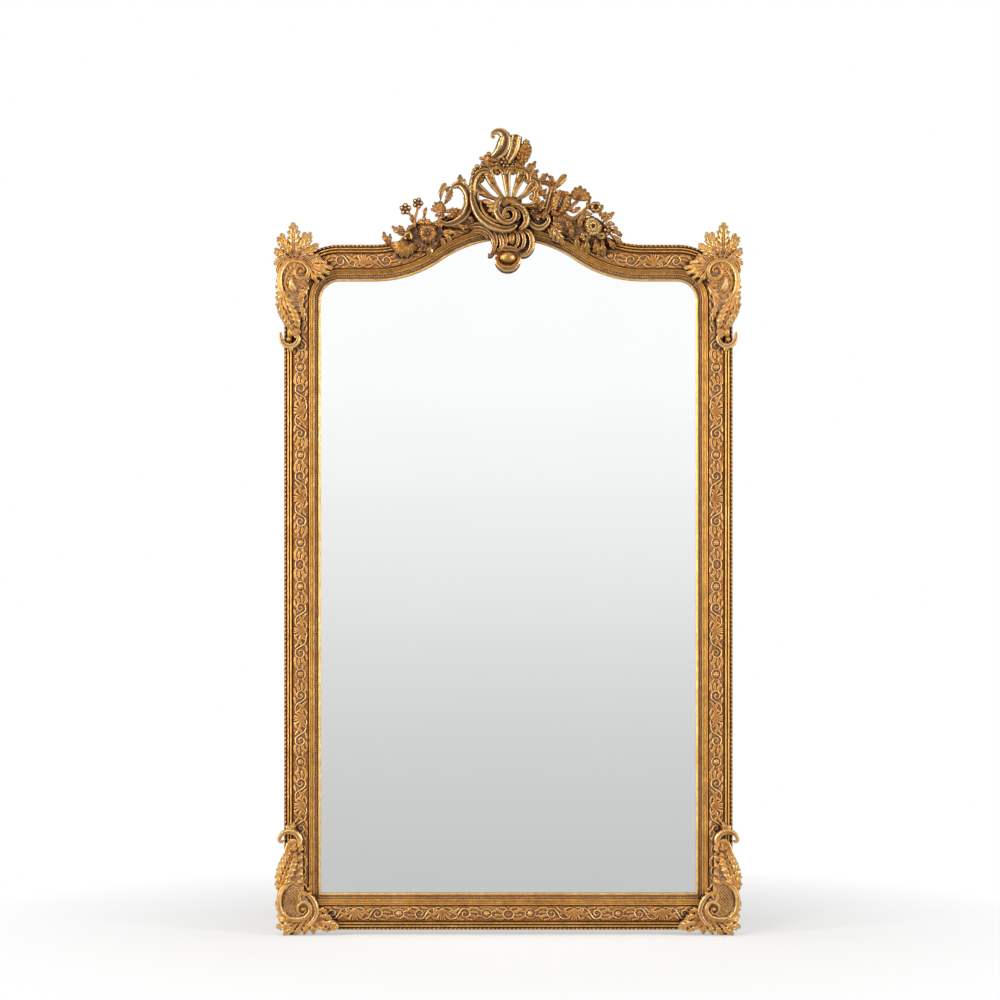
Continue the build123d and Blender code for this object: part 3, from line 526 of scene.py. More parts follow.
@dataclass
class Carver:
    """Carves leaves, scrolls, flowers and beads into a piece, in a local frame.

    Args:
        carving: The piece.
        origin: x and z of the local frame's origin.
        down: 1 if the local second coordinate runs up, and -1 if it runs down.
    """

    carving: Carving
    origin: tuple[float, float]
    down: float = 1.0

    def place(self, points: Points | Array) -> Array:
        """Returns rows with their first two columns moved from the local frame to the mirror's."""
        rows = np.array(points, dtype=float)
        rows[:, 0] = self.origin[0] + rows[:, 0]
        rows[:, 1] = self.origin[1] + self.down * rows[:, 1]
        return rows

    def leaf(
        self,
        points: Points,
        width: float,
        lobes: int = 3,
        arch: float = 0.36,
        rise: float = 10.0,
        cut: float = 0.0,
        peak: float = 0.42,
        rows: int = 0,
    ) -> None:
        """Adds an acanthus leaf.

        The half width rises as a sine to the widest place and falls away evenly to a pointed tip. It is
        cut into lobes, each growing slowly and ending sharply, which lean towards the tip. The leaf is
        arched across, each lobe has a hollow flute, and a groove with a rib in it runs along the middle.

        Args:
            points: Midrib, as local x, z and, where given, height over the base.
            width: Full width.
            lobes: Lobes on each side.
            arch: Height of the arch over the half width.
            rise: Height of the midrib where the points don't give it.
            cut: How deep the lobes are cut, from 0 to 1.
            peak: Where along the leaf it is widest.
            rows: Rows of the grid, or 0 for a count that suits the lobes.
        """
        given = [list(p) + [rise] if len(p) == 2 else list(p) for p in points]
        count = rows or (9 * lobes + 5 if lobes > 1 else 12)
        line = spline(self.place(given), count)
        u = np.linspace(0, 1, count)[:, None]
        v = np.linspace(-1, 1, 15 if width > 9 else 9)[None, :]
        grow = np.sin(0.5 * np.pi * np.clip(u / peak, 0, 1)) ** 0.8
        taper = 1 - np.clip((u - peak) / (1 - peak), 0, 1) ** 1.7
        half = width / 2 * np.maximum(grow * taper, 0.05)
        side = np.abs(v)
        phase = (lobes * u + 0.1) % 1.0
        tooth = np.clip(phase / 0.72, 0, 1) ** 0.7 * (1 - np.clip((phase - 0.72) / 0.28, 0, 1) ** 1.5)
        reach = 1 - cut * side**1.8 * (1 - tooth)
        slant = 0.15 * count * side**1.4 * np.sin(np.pi * np.clip(u, 0, 1)) ** 0.5
        flute = -0.42 * half * side**1.2 * (1 - tooth) * min(1.0, 2.0 * cut)
        flute = flute + 0.07 * half * np.cos(6 * np.pi * side) * side
        rib = -0.30 * half * np.exp(-((v / 0.20) ** 2)) + 0.22 * half * np.exp(-((v / 0.07) ** 2))
        front = arch * half * (1 - side**2.4) * 1.6 + flute + rib
        front = np.maximum(front, -0.6 * (line[:, 2][:, None]) + 0.8)
        grid = np.column_stack([line[:, 0], line[:, 1], line[:, 2] + CASTING_BASE, half[:, 0]])
        self.carving.shell(band(grid, v * reach, front, CASTING_BACK, slant))

    def burst(
        self,
        root: Sequence[float],
        tips: Sequence[Sequence[float]],
        heights: tuple[float, float, float],
        width: float,
        part: float = 0.5,
        **shape: float,
    ) -> None:
        """Adds straight leaves that spread from one root.

        Args:
            root: Local x and z of the root.
            tips: Local x and z of each tip.
            heights: Heights over the base at the root, the middle and the tip.
            width: Full width of a leaf.
            part: Where the middle lies, as a share of the way to the tip.
            shape: The leaf's other sizes.
        """
        low, high, end = heights
        for tip in tips:
            middle = [(1 - part) * a + part * b for a, b in zip(root, tip)]
            self.leaf([(*root, low), (*middle, high), (*tip, end)], width, **shape)

    def frond(
        self,
        points: Points,
        width: float,
        pairs: int,
        stem: float = 7.0,
        lean: float = 1.0,
        cut: float = 0.30,
    ) -> None:
        """Adds a feathery acanthus: a tapering stem with pairs of pointed leaflets and one at the tip.

        Each leaflet starts on the stem and runs outwards and forwards, and its length follows a sine
        along the stem. The stem lies over the leaflets' roots.

        Args:
            points: Stem, as local x, z and height over the base.
            width: Full width across the leaflets.
            pairs: How many pairs.
            stem: Width of the stem at its foot.
            lean: How far the leaflets run forwards for each step outwards.
            cut: How deep the leaflets' own lobes are cut.
        """
        line = spline(self.place(points), 60)
        line[:, 1] = (line[:, 1] - self.origin[1]) / self.down
        line[:, 0] -= self.origin[0]
        along = np.gradient(line[:, :2], axis=0)
        along /= np.linalg.norm(along, axis=1, keepdims=True)
        over = np.stack([-along[:, 1], along[:, 0]], 1)
        for k, t in enumerate(np.linspace(0.04, 0.86, pairs)):
            index = int(t * 59)
            reach = width / 2 * (0.45 + 0.55 * np.sin(np.pi * min(1.0, t * 1.15 + 0.12)) ** 0.8)
            for way in (-1.0, 1.0):
                root, high = line[index, :2], line[index, 2]
                out = over[index] * way
                mid = root + 0.55 * reach * out + 0.35 * lean * reach * along[index]
                tip = root + 0.92 * reach * out + lean * reach * along[index]
                lift = 1.6 * (k % 2)
                self.leaf(
                    [(*root, high - 3), (*mid, high - 1 + lift), (*tip, high - 6)], 0.8 * reach + 3.0,
                    cut=cut, arch=0.5, peak=0.5, rows=22,
                )
        self.leaf(
            [
                (*line[-12, :2], line[-12, 2] - 1), (*line[-4, :2], line[-4, 2] + 1),
                (*line[-1, :2] + 3 * along[-1], line[-1, 2] - 3),
            ],
            0.32 * width, lobes=2, cut=cut,
        )
        heights = line[:: 59 // 5, 2] + 2.0
        self.scroll(
            [tuple(p) for p in line[::10, :2]], [stem, stem * 0.85, stem * 0.6, stem * 0.4, stem * 0.2],
            list(heights), hollow=0.25, crown=2.0,
        )

    def scroll(
        self,
        points: Points,
        width: float | Sequence[float],
        rise: float | Sequence[float] = 12.0,
        reeds: int = 1,
        count: int = 0,
        hollow: float = 0.4,
        back: float = 0.0,
        tilt: float = 0.0,
        crown: float = 3.6,
    ) -> None:
        """Adds a scroll: a reeded band along a curve.

        Across the band the height is a crown with rounded edges, less a cosine that sinks a channel
        between each pair of reeds, plus a tilt that lifts one edge over the other.

        Args:
            points: Local x and z along the scroll.
            width: Full width, or widths spread evenly along the scroll.
            rise: Height over the base, or heights spread evenly along the scroll.
            reeds: How many channels run along the band.
            count: Rows of the grid, or 0 for a count that suits the curve.
            hollow: Depth of the channels over the half width.
            back: Height of the band's back over the base.
            tilt: Lift of the left edge over the half width.
            crown: Power of the crown: 2 is round, and more is flatter.
        """
        rows = count or 8 * len(points)
        line = spline(self.place(points), rows)
        t = np.linspace(0, 1, rows)
        widths = np.atleast_1d(np.asarray(width, dtype=float))
        rises = np.atleast_1d(np.asarray(rise, dtype=float))
        half = 0.5 * np.interp(
            t, np.linspace(0, 1, len(widths)), widths,
        ) * np.minimum(1, np.sin(np.pi * t) * 7 + 0.1)
        tall = np.interp(t, np.linspace(0, 1, len(rises)), rises)
        v = np.linspace(-1, 1, 8 * reeds + 5)[None, :]
        dome = (1 - np.abs(v) ** crown) ** 0.5
        leaning = v + 0.26 * (1 - v**2) * (1.0 if tilt >= 0 else -1.0)
        sink = (0.5 - 0.5 * np.cos(np.pi * reeds * (leaning + 1))) ** 1.3
        front = (dome - 1) * np.minimum(
            0.75 * tall[:, None], 1.6 * half[:, None],
        ) - hollow * half[:, None] * sink
        front = front + tilt * half[:, None] * v
        grid = np.column_stack([line[:, 0], line[:, 1], tall + CASTING_BASE, half])
        self.carving.shell(band(grid, v, front, CASTING_BACK + back))

    def flower(
        self,
        x: float,
        z: float,
        radius: float,
        petals: int,
        rise: float = 12.0,
        heart: float = 0.36,
        turn: float = 0.0,
    ) -> None:
        """Adds an open flower: petals round a domed heart.

        On polar rings the radius is cut between the petals, and the height is a dome for the heart plus
        a cupped ring that falls away at each petal's edges.

        Args:
            x: Local x.
            z: Local z.
            radius: Radius to the petals' tips.
            petals: How many petals.
            rise: Height of the heart over the base.
            heart: Radius of the heart over the flower's.
            turn: Angle of the first petal, in degrees.
        """
        t = np.linspace(0, 1, 12)[:, None]
        angle = np.linspace(0, 2 * np.pi, 6 * petals, endpoint=False)[None, :]
        petal = np.abs(np.cos(petals * (angle - np.radians(turn)) / 2)) ** 0.7
        r = radius * t * (1 - 0.34 * np.clip((t - heart) / (1 - heart), 0, 1) * (1 - petal))
        dome = 0.30 * np.sqrt(np.clip(1 - (t / heart) ** 2, 0, 1))
        cup = 0.34 * np.sin(np.pi * np.clip((t - heart * 0.9) / (1.2 - heart * 0.9), 0, 1)) ** 0.8 * petal
        height = rise * (0.62 + dome + cup - 0.26 * t**2 - 0.12 * (1 - petal) * t)
        self._disc(x, z, r, height, angle)

    def bead(
        self, x: float, z: float, radius: float, rise: float = 8.0, stretch: float = 1.0, turn: float = 0.0,
        sides: int = 16,
    ) -> None:
        """Adds a domed bead, round or oval: the height is half an ellipse over the radius.

        Args:
            x: Local x.
            z: Local z.
            radius: Radius.
            rise: Height over the base.
            stretch: Length over width, along the turn's direction.
            turn: Direction of the length, in degrees.
            sides: Points of each ring.
        """
        t = np.sin(np.linspace(0, np.pi / 2, 7))[:, None]
        angle = np.linspace(0, 2 * np.pi, sides, endpoint=False)[None, :]
        height = rise - radius + radius * np.sqrt(np.clip(1 - t**2, 0, 1)) + 0 * angle
        self._disc(x, z, radius * t + 0 * angle, height, angle, stretch, turn)

    def ground(
        self,
        outline: Points,
        rise: float,
        dome: float = 3.0,
        work: Field = Field.FLUTED,
        depth: float = 2.4,
        low: float = -BACK_SINK,
        eye: tuple[float, float] | None = None,
    ) -> None:
        """Adds the solid ground that the other shapes stand on.

        The outline is drawn in towards its centre on rings, and the height is a low dome with worked
        relief: a net is a lattice of ridges with a bead in each square, and a fluted ground has curved
        ridges that spread from an eye.

        Args:
            outline: Local x and z of a closed outline that its centre sees all of.
            rise: Height over the base.
            dome: How much higher the middle is.
            work: How the ground is worked.
            depth: Depth of the work.
            low: Height of the back over the base.
            eye: Local x and z that flutes spread from, or None for the middle.
        """
        rim = spline(self.place([*outline, outline[0]]), 145)[:-1, :2]
        centre = rim.mean(axis=0)
        t = np.linspace(0, 1, 44)[:, None, None]
        flat = centre + (rim - centre)[None] * t
        x, z = flat[..., 0], flat[..., 1]
        if work is Field.NET:
            a, b = np.sin((x + z) * 0.46), np.sin((x - z) * 0.46)
            worked = np.maximum(np.exp(-((a / 0.5) ** 2)), np.exp(-((b / 0.5) ** 2))) * 0.9
            worked = np.maximum(worked, 1.5 * np.sqrt(np.clip(1 - ((1 - a * a) + (1 - b * b)) / 0.30, 0, 1)))
        else:
            spot = centre if eye is None else self.place([eye])[0]
            reach, angle = np.hypot(x - spot[0], z - spot[1]), np.arctan2(z - spot[1], x - spot[0])
            worked = np.abs(np.sin(7.5 * angle + 0.045 * reach + 0.6 * np.sin(0.25 * reach))) ** 0.7
            worked = worked + 0.35 * np.abs(np.sin(0.55 * reach + 2.0 * np.sin(5 * angle)))
        height = CASTING_BASE + rise + dome * (1 - t[..., 0] ** 2) + depth * worked
        height[-1] -= 0.8
        back = np.full((3, rim.shape[0]), CASTING_BASE + low)
        flat = np.concatenate([flat, flat[[-1, 22, 0]]])
        self.carving.shell(np.stack([flat[..., 0], np.concatenate([height, back]), flat[..., 1]], -1))

    def _disc(
        self, x: float, z: float, radius: Array, height: Array, angle: Array, stretch: float = 1.0,
        turn: float = 0.0,
    ) -> None:
        """Adds rings of points about a local point, from the middle out and back along the underside.

        Args:
            x: Local x.
            z: Local z.
            radius: Radius of each point, as rings by angles.
            height: Height of each point over the base.
            angle: Angles of the points.
            stretch: Length over width.
            turn: Direction of the length, in degrees.
        """
        along, over = radius * np.cos(angle) * stretch, radius * np.sin(angle)
        c, s = np.cos(np.radians(turn)), np.sin(np.radians(turn))
        px, pz = along * c - over * s, along * s + over * c
        px, pz = np.concatenate([px, px[[-1, 0]]]), np.concatenate([pz, pz[[-1, 0]]])
        low = np.full((2, px.shape[1]), -BACK_SINK)
        h = np.concatenate([height, low]) + CASTING_BASE
        centre = self.place([[x, z]])[0]
        self.carving.shell(np.stack([centre[0] + px, h, centre[1] + self.down * pz], -1))


# ------------------------------------------------------------------ rails


@dataclass
class RailPath:
    """A rail's sight edge, with the vectors outwards along which distances d are laid off.

    Args:
        layout: The places of the frame.
        side: Which rail.
    """

    layout: Layout
    side: Side

    def stations(self, pitch: float) -> tuple[Array, Array, Array]:
        """Samples the rail.

        The bottom ends are mitred, so a station that lies within the mitre leans outwards and along the
        rail at once. The top corners are quarter rounds, shared by a stile and the top rail at 45 degrees.

        Args:
            pitch: Distance between stations.

        Returns:
            Points of the sight edge, outward vectors, and the distance along the middle of the rail.
        """
        place = self.layout
        if self.side in (Side.LEFT, Side.RIGHT):
            base, out = self._stile(pitch)
        elif self.side is Side.BOTTOM:
            base, out = self._bottom(pitch)
        else:
            base, out = self._top(pitch)
        if self.side is Side.RIGHT:
            base, out = base * [-1, 1], out * [-1, 1]
        middle = base + out * (place.rail * 0.54)
        run = run_along(middle)
        return base, out, run

    def _arc(
        self, cx: float, cz: float, radius: float, start: float, end: float, pitch: float,
    ) -> tuple[Array, Array]:
        """Returns points and radial vectors of an arc, angles in degrees."""
        outer = abs(radius) + self.layout.rail
        count = max(3, int(np.radians(abs(end - start)) * outer / pitch))
        angle = np.radians(np.linspace(start, end, count))
        ray = np.stack([np.cos(angle), np.sin(angle)], 1)
        return np.array([cx, cz]) + radius * ray, ray

    def _stile(self, pitch: float) -> tuple[Array, Array]:
        """Returns the left stile's points and outward vectors."""
        place = self.layout
        lean = np.linspace(1, 0, int(place.rail / pitch))[:-1]
        mitre = np.tile([[-place.half_sight, place.sight_bottom]], (len(lean), 1))
        mitre_out = np.stack([-np.ones_like(lean), -lean], 1)
        spring = place.shoulder - place.corner_radius
        z = np.linspace(place.sight_bottom, spring, int((spring - place.sight_bottom) / pitch))[:-1]
        straight = np.stack([np.full_like(z, -place.half_sight), z], 1)
        straight_out = np.tile([[-1.0, 0.0]], (len(z), 1))
        arc, ray = self._arc(
            -place.half_sight + place.corner_radius, spring, place.corner_radius, 180, 135, pitch,
        )
        return np.vstack([mitre, straight, arc]), np.vstack([mitre_out, straight_out, ray])

    def _bottom(self, pitch: float) -> tuple[Array, Array]:
        """Returns the bottom rail's points and outward vectors."""
        place = self.layout
        lean = np.linspace(1, 0, int(place.rail / pitch))[:-1]
        mitre = np.tile([[-place.half_sight, place.sight_bottom]], (len(lean), 1))
        mitre_out = np.stack([-lean, -np.ones_like(lean)], 1)
        x = np.linspace(-place.half_sight, place.half_sight, int(2 * place.half_sight / pitch))
        straight = np.stack([x, np.full_like(x, place.sight_bottom)], 1)
        straight_out = np.tile([[0.0, -1.0]], (len(x), 1))
        base = np.vstack([mitre, straight, mitre[::-1] * [-1, 1]])
        return base, np.vstack([mitre_out, straight_out, mitre_out[::-1] * [-1, 1]])

    def _top(self, pitch: float) -> tuple[Array, Array]:
        """Returns the top rail's points and outward vectors."""
        place = self.layout
        radius, span = place.swell_radius, place.swell_half_span
        turn = np.degrees(np.arcsin(span / 2 / radius))
        corner = (-place.half_sight + place.corner_radius, place.shoulder - place.corner_radius)
        first, first_out = self._arc(*corner, place.corner_radius, 135, 90, pitch)
        x = np.linspace(corner[0], -span, max(2, int((-span - corner[0]) / pitch)))[1:-1]
        level = np.stack([x, np.full_like(x, place.shoulder)], 1)
        level_out = np.tile([[0.0, 1.0]], (len(x), 1))
        low, low_out = self._arc(-span, place.shoulder + radius, radius, 270, 270 + turn, pitch)
        high, high_out = self._arc(0.0, place.peak - radius, radius, 90 + turn, 90, pitch)
        base = np.vstack([first, level, low[:-1], high])
        out = np.vstack([first_out, level_out, -low_out[:-1], high_out])
        return np.vstack([base, base[-2::-1] * [-1, 1]]), np.vstack([out, out[-2::-1] * [-1, 1]])


def sweep(base: Array, out: Array, d: Array, h: Array) -> Array:
    """Carries a closed section along a rail: each point is the sight edge plus d outwards, at height h.

    Args:
        base: Points of the sight edge.
        out: Outward vectors.
        d: Distances of the section's points, one row or one row a station.
        h: Heights of the section's points, likewise.

    Returns:
        Closed loops, as stations by points by x, h, z.
    """
    d, h = np.broadcast_arrays(np.atleast_2d(d), np.atleast_2d(h))
    d = np.broadcast_to(d, (len(base), d.shape[1]))
    h = np.broadcast_to(h, d.shape)
    x = base[:, :1] + out[:, :1] * d
    z = base[:, 1:] + out[:, 1:] * d
    return np.stack([x, h, z], -1)


def run_of(*spans: tuple[Points | Array, int]) -> Array:
    """Joins stretches of a section, each a smooth curve through its points, into one array."""
    rows = [
        spline(points, count) if len(points) > 2 else np.linspace(*points, count) for points, count in spans
    ]
    return np.vstack(rows)


@dataclass
class Rinceau:
    """Running scrollwork for the friezes: one repeat, as a map of heights, and its reading on a rail.

    Each stroke is a curve with a half width, and raises the ground about it as a half ellipse of the
    distance to the curve. A leaf's stroke is grooved along its middle. The highest stroke wins.

    Args:
        repeat: Length of one repeat.
        half: Half the frieze's width.
        step: Pitch of the map.
    """

    repeat: float = 196.0
    half: float = 16.8
    step: float = 0.5
    relief: Array = field(init=False)

    def __post_init__(self) -> None:
        """Works out the map: a palmette, a volute, a rosette in a ring and the volute mirrored."""
        u = np.arange(0, self.repeat, self.step)
        v = np.arange(-self.half, self.half + self.step, self.step)
        grid_u, grid_v = np.meshgrid(u, v, indexing="ij")
        across, along = np.sin(
            grid_u * 1.9 + 0.8 * np.sin(0.9 * grid_v)
        ), np.sin(grid_v * 1.9 + 1.3 * np.sin(grid_u * 0.4))
        self.relief = 0.75 * across * along + 0.45 * np.sin(0.7 * grid_u + 1.9 * np.sin(0.5 * grid_v))
        turn = np.linspace(0, 2 * np.pi, 13)
        volute = (
            (
                [
                    (-44, -3), (-32, -12), (-19, -9), (-12, 2), (-4, 11), (7, 10), (12, 1), (7, -7), (-2, -7),
                    (-5, 0), (0, 4), (4, 1),
                ],
                2.1, 3.5, 0.0,
            ),
            ([(-36, -9), (-30, 0), (-21, 5), (-12, 12)], 3.6, 3.4, 0.5),
            ([(-14, -3), (-20, -1), (-27, 3)], 3.2, 3.2, 0.4),
            ([(9, 9), (17, 13), (26, 11)], 3.8, 3.6, 0.5),
            ([(13, 3), (20, 4), (29, 3)], 3.4, 3.0, 0.5),
            ([(11, -4), (19, -5), (27, -11)], 3.8, 3.6, 0.5),
            ([(3, -10), (9, -13), (17, -15)], 3.2, 2.8, 0.4),
            ([(-16, -11), (-10, -13), (-3, -14)], 3.0, 3.0, 0.4),
            ([(-26, 7), (-31, 11), (-39, 13)], 3.0, 3.0, 0.4),
        )
        rosette = (
            (np.stack([11.5 * np.cos(turn), 10.5 * np.sin(turn)], 1), 1.5, 2.9, 0.0),
            ([(-12, 6), (-19, 10), (-24, 15)], 3.4, 3.4, 0.5),
            ([(12, -6), (19, -10), (24, -15)], 3.4, 3.4, 0.5),
            ([(-13, -5), (-20, -6), (-27, -13)], 3.0, 3.0, 0.4),
            ([(13, 5), (20, 6), (27, 13)], 3.0, 3.0, 0.4),
        )
        tips = ((-19, 3), (-12, 11), (-5, 15), (5, 15), (12, 11), (19, 3), (0, 15))
        palmette = [([(0.15 * a, -10), (0.62 * a, 0.5 * b - 3), (a, b)], 2.9, 3.8, 0.35) for a, b in tips]
        palmette += [
            ([(w * 3, -12), (w * 12, -14), (w * 20, -9), (w * 16, -4), (w * 11, -7)], 1.8, 3.4, 0.0)
            for w in (-1, 1)
        ]
        for centre, way, strokes in (
            (0.0, 1, palmette), (0.25, 1, volute), (0.5, 1, rosette), (0.75, -1, volute),
            (1.0, 1, palmette), (-0.25, -1, volute), (1.25, 1, volute),
        ):
            for points, half, rise, groove in strokes:
                self._stroke(
                    grid_u, grid_v, np.array(points, float) * [way, way] + [centre * self.repeat, 0], half,
                    rise, groove,
                )
        self._flower(grid_u, grid_v, 0.5 * self.repeat, 0.0, 7.4, 8)
        for centre in (0.0, 1.0):
            self._flower(grid_u, grid_v, centre * self.repeat, -10.5, 3.6, 5)

    def _stroke(self, u: Array, v: Array, points: Array, half: float, rise: float, groove: float) -> None:
        """Raises the map about a curve, thick in the middle and thin at the ends."""
        line = spline(points, 5 * len(points))
        t = np.linspace(0, 1, len(line))
        width = half * (0.45 + 0.55 * np.sin(np.pi * t) ** 0.7)
        away = np.hypot(u[..., None] - line[:, 0], v[..., None] - line[:, 1]) / width
        gap = away.min(axis=-1)
        height = rise * np.sqrt(np.clip(1 - gap**2, 0, 1)) * (1 - groove * np.exp(-((gap / 0.3) ** 2)))
        self.relief = np.maximum(self.relief, height)

    def _flower(self, u: Array, v: Array, x: float, y: float, radius: float, petals: int) -> None:
        """Raises a small flower on the map."""
        r, angle = np.hypot(u - x, v - y), np.arctan2(v - y, u - x)
        edge = radius * (0.7 + 0.3 * np.abs(np.cos(petals * angle / 2)))
        height = 4.2 * np.sqrt(np.clip(1 - (r / edge) ** 2, 0, 1)) * (
            0.72 + 0.28 * np.abs(np.cos(petals * angle / 2))
        )
        heart = 4.9 * np.sqrt(np.clip(1 - (r / (0.32 * radius)) ** 2, 0, 1))
        self.relief = np.maximum(self.relief, np.maximum(height, heart))

    def read(self, along: Array, across: Array) -> Array:
        """Reads the map by linear interpolation, repeating along the rail.

        Args:
            along: Distance along the rail.
            across: Distance from the frieze's middle.

        Returns:
            The height at each pair.
        """
        count = self.relief.shape[0]
        a = (along / self.step) % count
        b = np.clip((across + self.half) / self.step, 0, self.relief.shape[1] - 1.001)
        i, j = a.astype(int) % count, b.astype(int)
        f, g = a - a.astype(int), b - j
        k = (i + 1) % count
        top = self.relief[i, j] * (1 - f) + self.relief[k, j] * f
        end = self.relief[i, j + 1] * (1 - f) + self.relief[k, j + 1] * f
        return top * (1 - g) + end * g


@dataclass
class Rail:
    """One rail of the frame: its moulding, pearl slip, frieze and twisted edge.

    Args:
        layout: The places of the frame.
        side: Which rail.
        relief: The height map that the pieces take part in.
        pearl_pitch: Distance between pearls.
        pearl: Radius of a pearl across the slip.
        pearl_line: Distance of the pearls' middles from the sight edge.
        twist: Distance between the swellings of the twisted edge.
        cord_line: Distance of the cord's middle from the sight edge.
        cord_radius: Radius of the cord across the edge.
        frieze_line: Distance of the frieze's middle from the sight edge.
        frieze_half: Half the frieze's width.
        frieze_back: Height of the frieze's underside.
    """

    layout: Layout
    side: Side
    relief: Relief
    pearl_pitch: float = 5.2
    pearl: float = 2.7
    pearl_line: float = 10.8
    twist: float = 9.4
    cord_line: float = 78.4
    cord_radius: float = 3.25
    frieze_line: float = 44.4
    frieze_half: float = 16.8
    frieze_back: float = 36.4

    def moulding(self) -> Casting:
        """Builds the moulding: a cove, a groove, the bed of the frieze, a fillet and a round bead.

        Returns:
            The piece's arrays.
        """
        base, out, _ = RailPath(self.layout, self.side).stations(7.0)
        section = run_of(
            ([(14.5, 24.0), (14.5, 34.0)], 4),
            ([(14.7, 35.0), (15.4, 35.6), (16.2, 35.0)], 5),
            ([(16.6, 34.2), (18.6, 34.8), (21.6, 37.0), (23.4, 40.4)], 12),
            ([(23.7, 41.6), (24.4, 42.3), (25.1, 41.6)], 5),
            ([(25.3, 40.0), (25.6, 36.2)], 3),
            ([(26.0, 35.8), (26.9, 35.8)], 2),
            ([(27.3, 36.6), (44.5, 39.4), (61.4, 36.6)], 7),
            ([(62.0, 35.8), (62.9, 35.8)], 2),
            ([(63.3, 38.2), (64.1, 42.8), (65.8, 44.4), (67.5, 42.8), (68.2, 39.6)], 11),
            ([(68.6, 37.0), (69.2, 37.0)], 2),
            ([(69.6, 40.2), (70.3, 44.6), (71.8, 46.0), (73.3, 44.6), (74.0, 40.4)], 11),
            ([(74.0, 39.0), (74.0, 24.0)], 5),
            ([(73.4, 22.2), (15.2, 22.2)], 4),
        )
        # Painted highlights on the fillets and bead tops and painted shade in the grooves, added to the
        # detail.
        painted_highlight_and_shade = [
            (14.5, 0.0), (15.4, 0.9), (16.6, -0.1), (21.0, 0.15), (23.2, 0.2), (24.4, 0.9), (25.3, -0.4),
            (26.5, -1.0), (28.0, -0.3),
        ]
        painted_highlight_and_shade += [
            (61.0, -0.3), (62.4, -1.0), (63.6, -0.2), (65.8, 0.5), (68.0, -0.2), (68.9, -1.0), (69.8, -0.1),
            (71.8, 0.6), (73.8, -0.2),
        ]
        carving = Carving(self.layout)
        carving.shell(
            sweep(base, out, section[:, 0], section[:, 1]), flat_ends=True,
            mark=np.interp(section[:, 0], *zip(*painted_highlight_and_shade)),
        )
        return carving.build(f"{self.side.value}_moulding_gilt", self.relief)

    def slip(self) -> Casting:
        """Builds the sight slip: a rolled lip and a channel with a course of pearls.

        Returns:
            The piece's arrays.
        """
        path = RailPath(self.layout, self.side)
        base, out, _ = path.stations(7.0)
        section = run_of(
            ([(0.0, 22.2), (0.0, 27.6)], 3),
            ([(0.3, 28.8), (1.8, 29.8), (3.8, 29.6), (5.2, 28.4)], 9),
            ([(5.7, 27.0), (6.0, 24.8)], 2),
            ([(6.4, 24.4), (7.6, 24.4)], 2),
            ([(8.0, 25.6), (13.0, 25.8)], 4),
            ([(13.3, 27.2), (13.6, 31.0)], 3),
            ([(13.8, 32.0), (14.4, 32.0)], 2),
            ([(14.4, 31.0), (14.4, 22.2)], 3),
        )
        # Painted highlight on the rolled lip and painted shade in the pearl channel, added to the detail.
        painted_highlight_and_shade = [
            (0.0, 0.0), (1.2, 0.62), (4.2, 0.55), (5.4, -0.5), (7.0, -1.2), (8.2, -0.3), (13.0, -0.4),
            (13.8, 0.3), (14.4, -0.2),
        ]
        carving = Carving(self.layout)
        carving.shell(
            sweep(base, out, section[:, 0], section[:, 1]), flat_ends=True,
            mark=np.interp(section[:, 0], *zip(*painted_highlight_and_shade)),
        )
        fine, fine_out, _ = path.stations(1.0)
        centre = fine + fine_out * self.pearl_line
        run = run_along(centre)
        places = np.arange(self.pearl_pitch, run[-1] - 0.5 * self.pearl_pitch, self.pearl_pitch)
        x, z = np.interp(places, run, centre[:, 0]), np.interp(places, run, centre[:, 1])
        side_x, side_z = np.interp(places, run, fine_out[:, 0]), np.interp(places, run, fine_out[:, 1])
        size = np.hypot(side_x, side_z)
        side_x, side_z = side_x / size, side_z / size
        ring = np.linspace(0, 2 * np.pi, 8, endpoint=False)
        lift = np.sin(np.linspace(0, np.pi / 2, 4))
        across = self.pearl * np.outer(lift, np.sin(ring))
        along = 0.46 * self.pearl_pitch * np.outer(lift, np.cos(ring))
        high = 26.4 + 3.6 * np.sqrt(1 - lift**2)[:, None] + 0 * ring
        across, along, high = (np.concatenate([a, a[[-1, 0]]]) for a in (across, along, high))
        high[-2:] = 25.6
        for px, pz, sx, sz in zip(x, z, side_x, side_z):
            carving.shell(
                np.stack([px + sx * across - sz * along, high, pz + sz * across + sx * along], -1), sharp=4.0,
            )
        return carving.build(f"{self.side.value}_pearl_slip", self.relief)

    def edge(self) -> Casting:
        """Builds the twisted edge: a cord on a low bed, whose radius swells with each strand.

        Returns:
            The piece's arrays.
        """
        base, out, _ = RailPath(self.layout, self.side).stations(1.8)
        middle = base + out * self.cord_line
        run = run_along(middle)[:, None]
        angle = np.linspace(np.pi, -0.2 * np.pi, 13)[None, :]
        swell = 0.5 + 0.5 * np.cos(2 * np.pi * run / self.twist - 1.2 * angle)
        size = 0.72 + 0.28 * swell**1.4
        d = np.clip(self.cord_line + self.cord_radius * size * np.cos(angle), 74.8, 81.6)
        h = 32.0 + 6.4 * size * np.sin(angle)
        bed = np.array([(80.8, 24.4), (77.0, 24.2), (74.05, 24.2), (74.05, 30.6), (74.7, 31.0)])
        d = np.concatenate([d, np.broadcast_to(bed[:, 0], (len(d), 5))], 1)
        h = np.concatenate([h, np.broadcast_to(bed[:, 1], (len(h), 5))], 1)
        carving = Carving(self.layout)
        carving.shell(sweep(base, out, d, h), flat_ends=True)
        return carving.build(f"{self.side.value}_twisted_edge", self.relief)

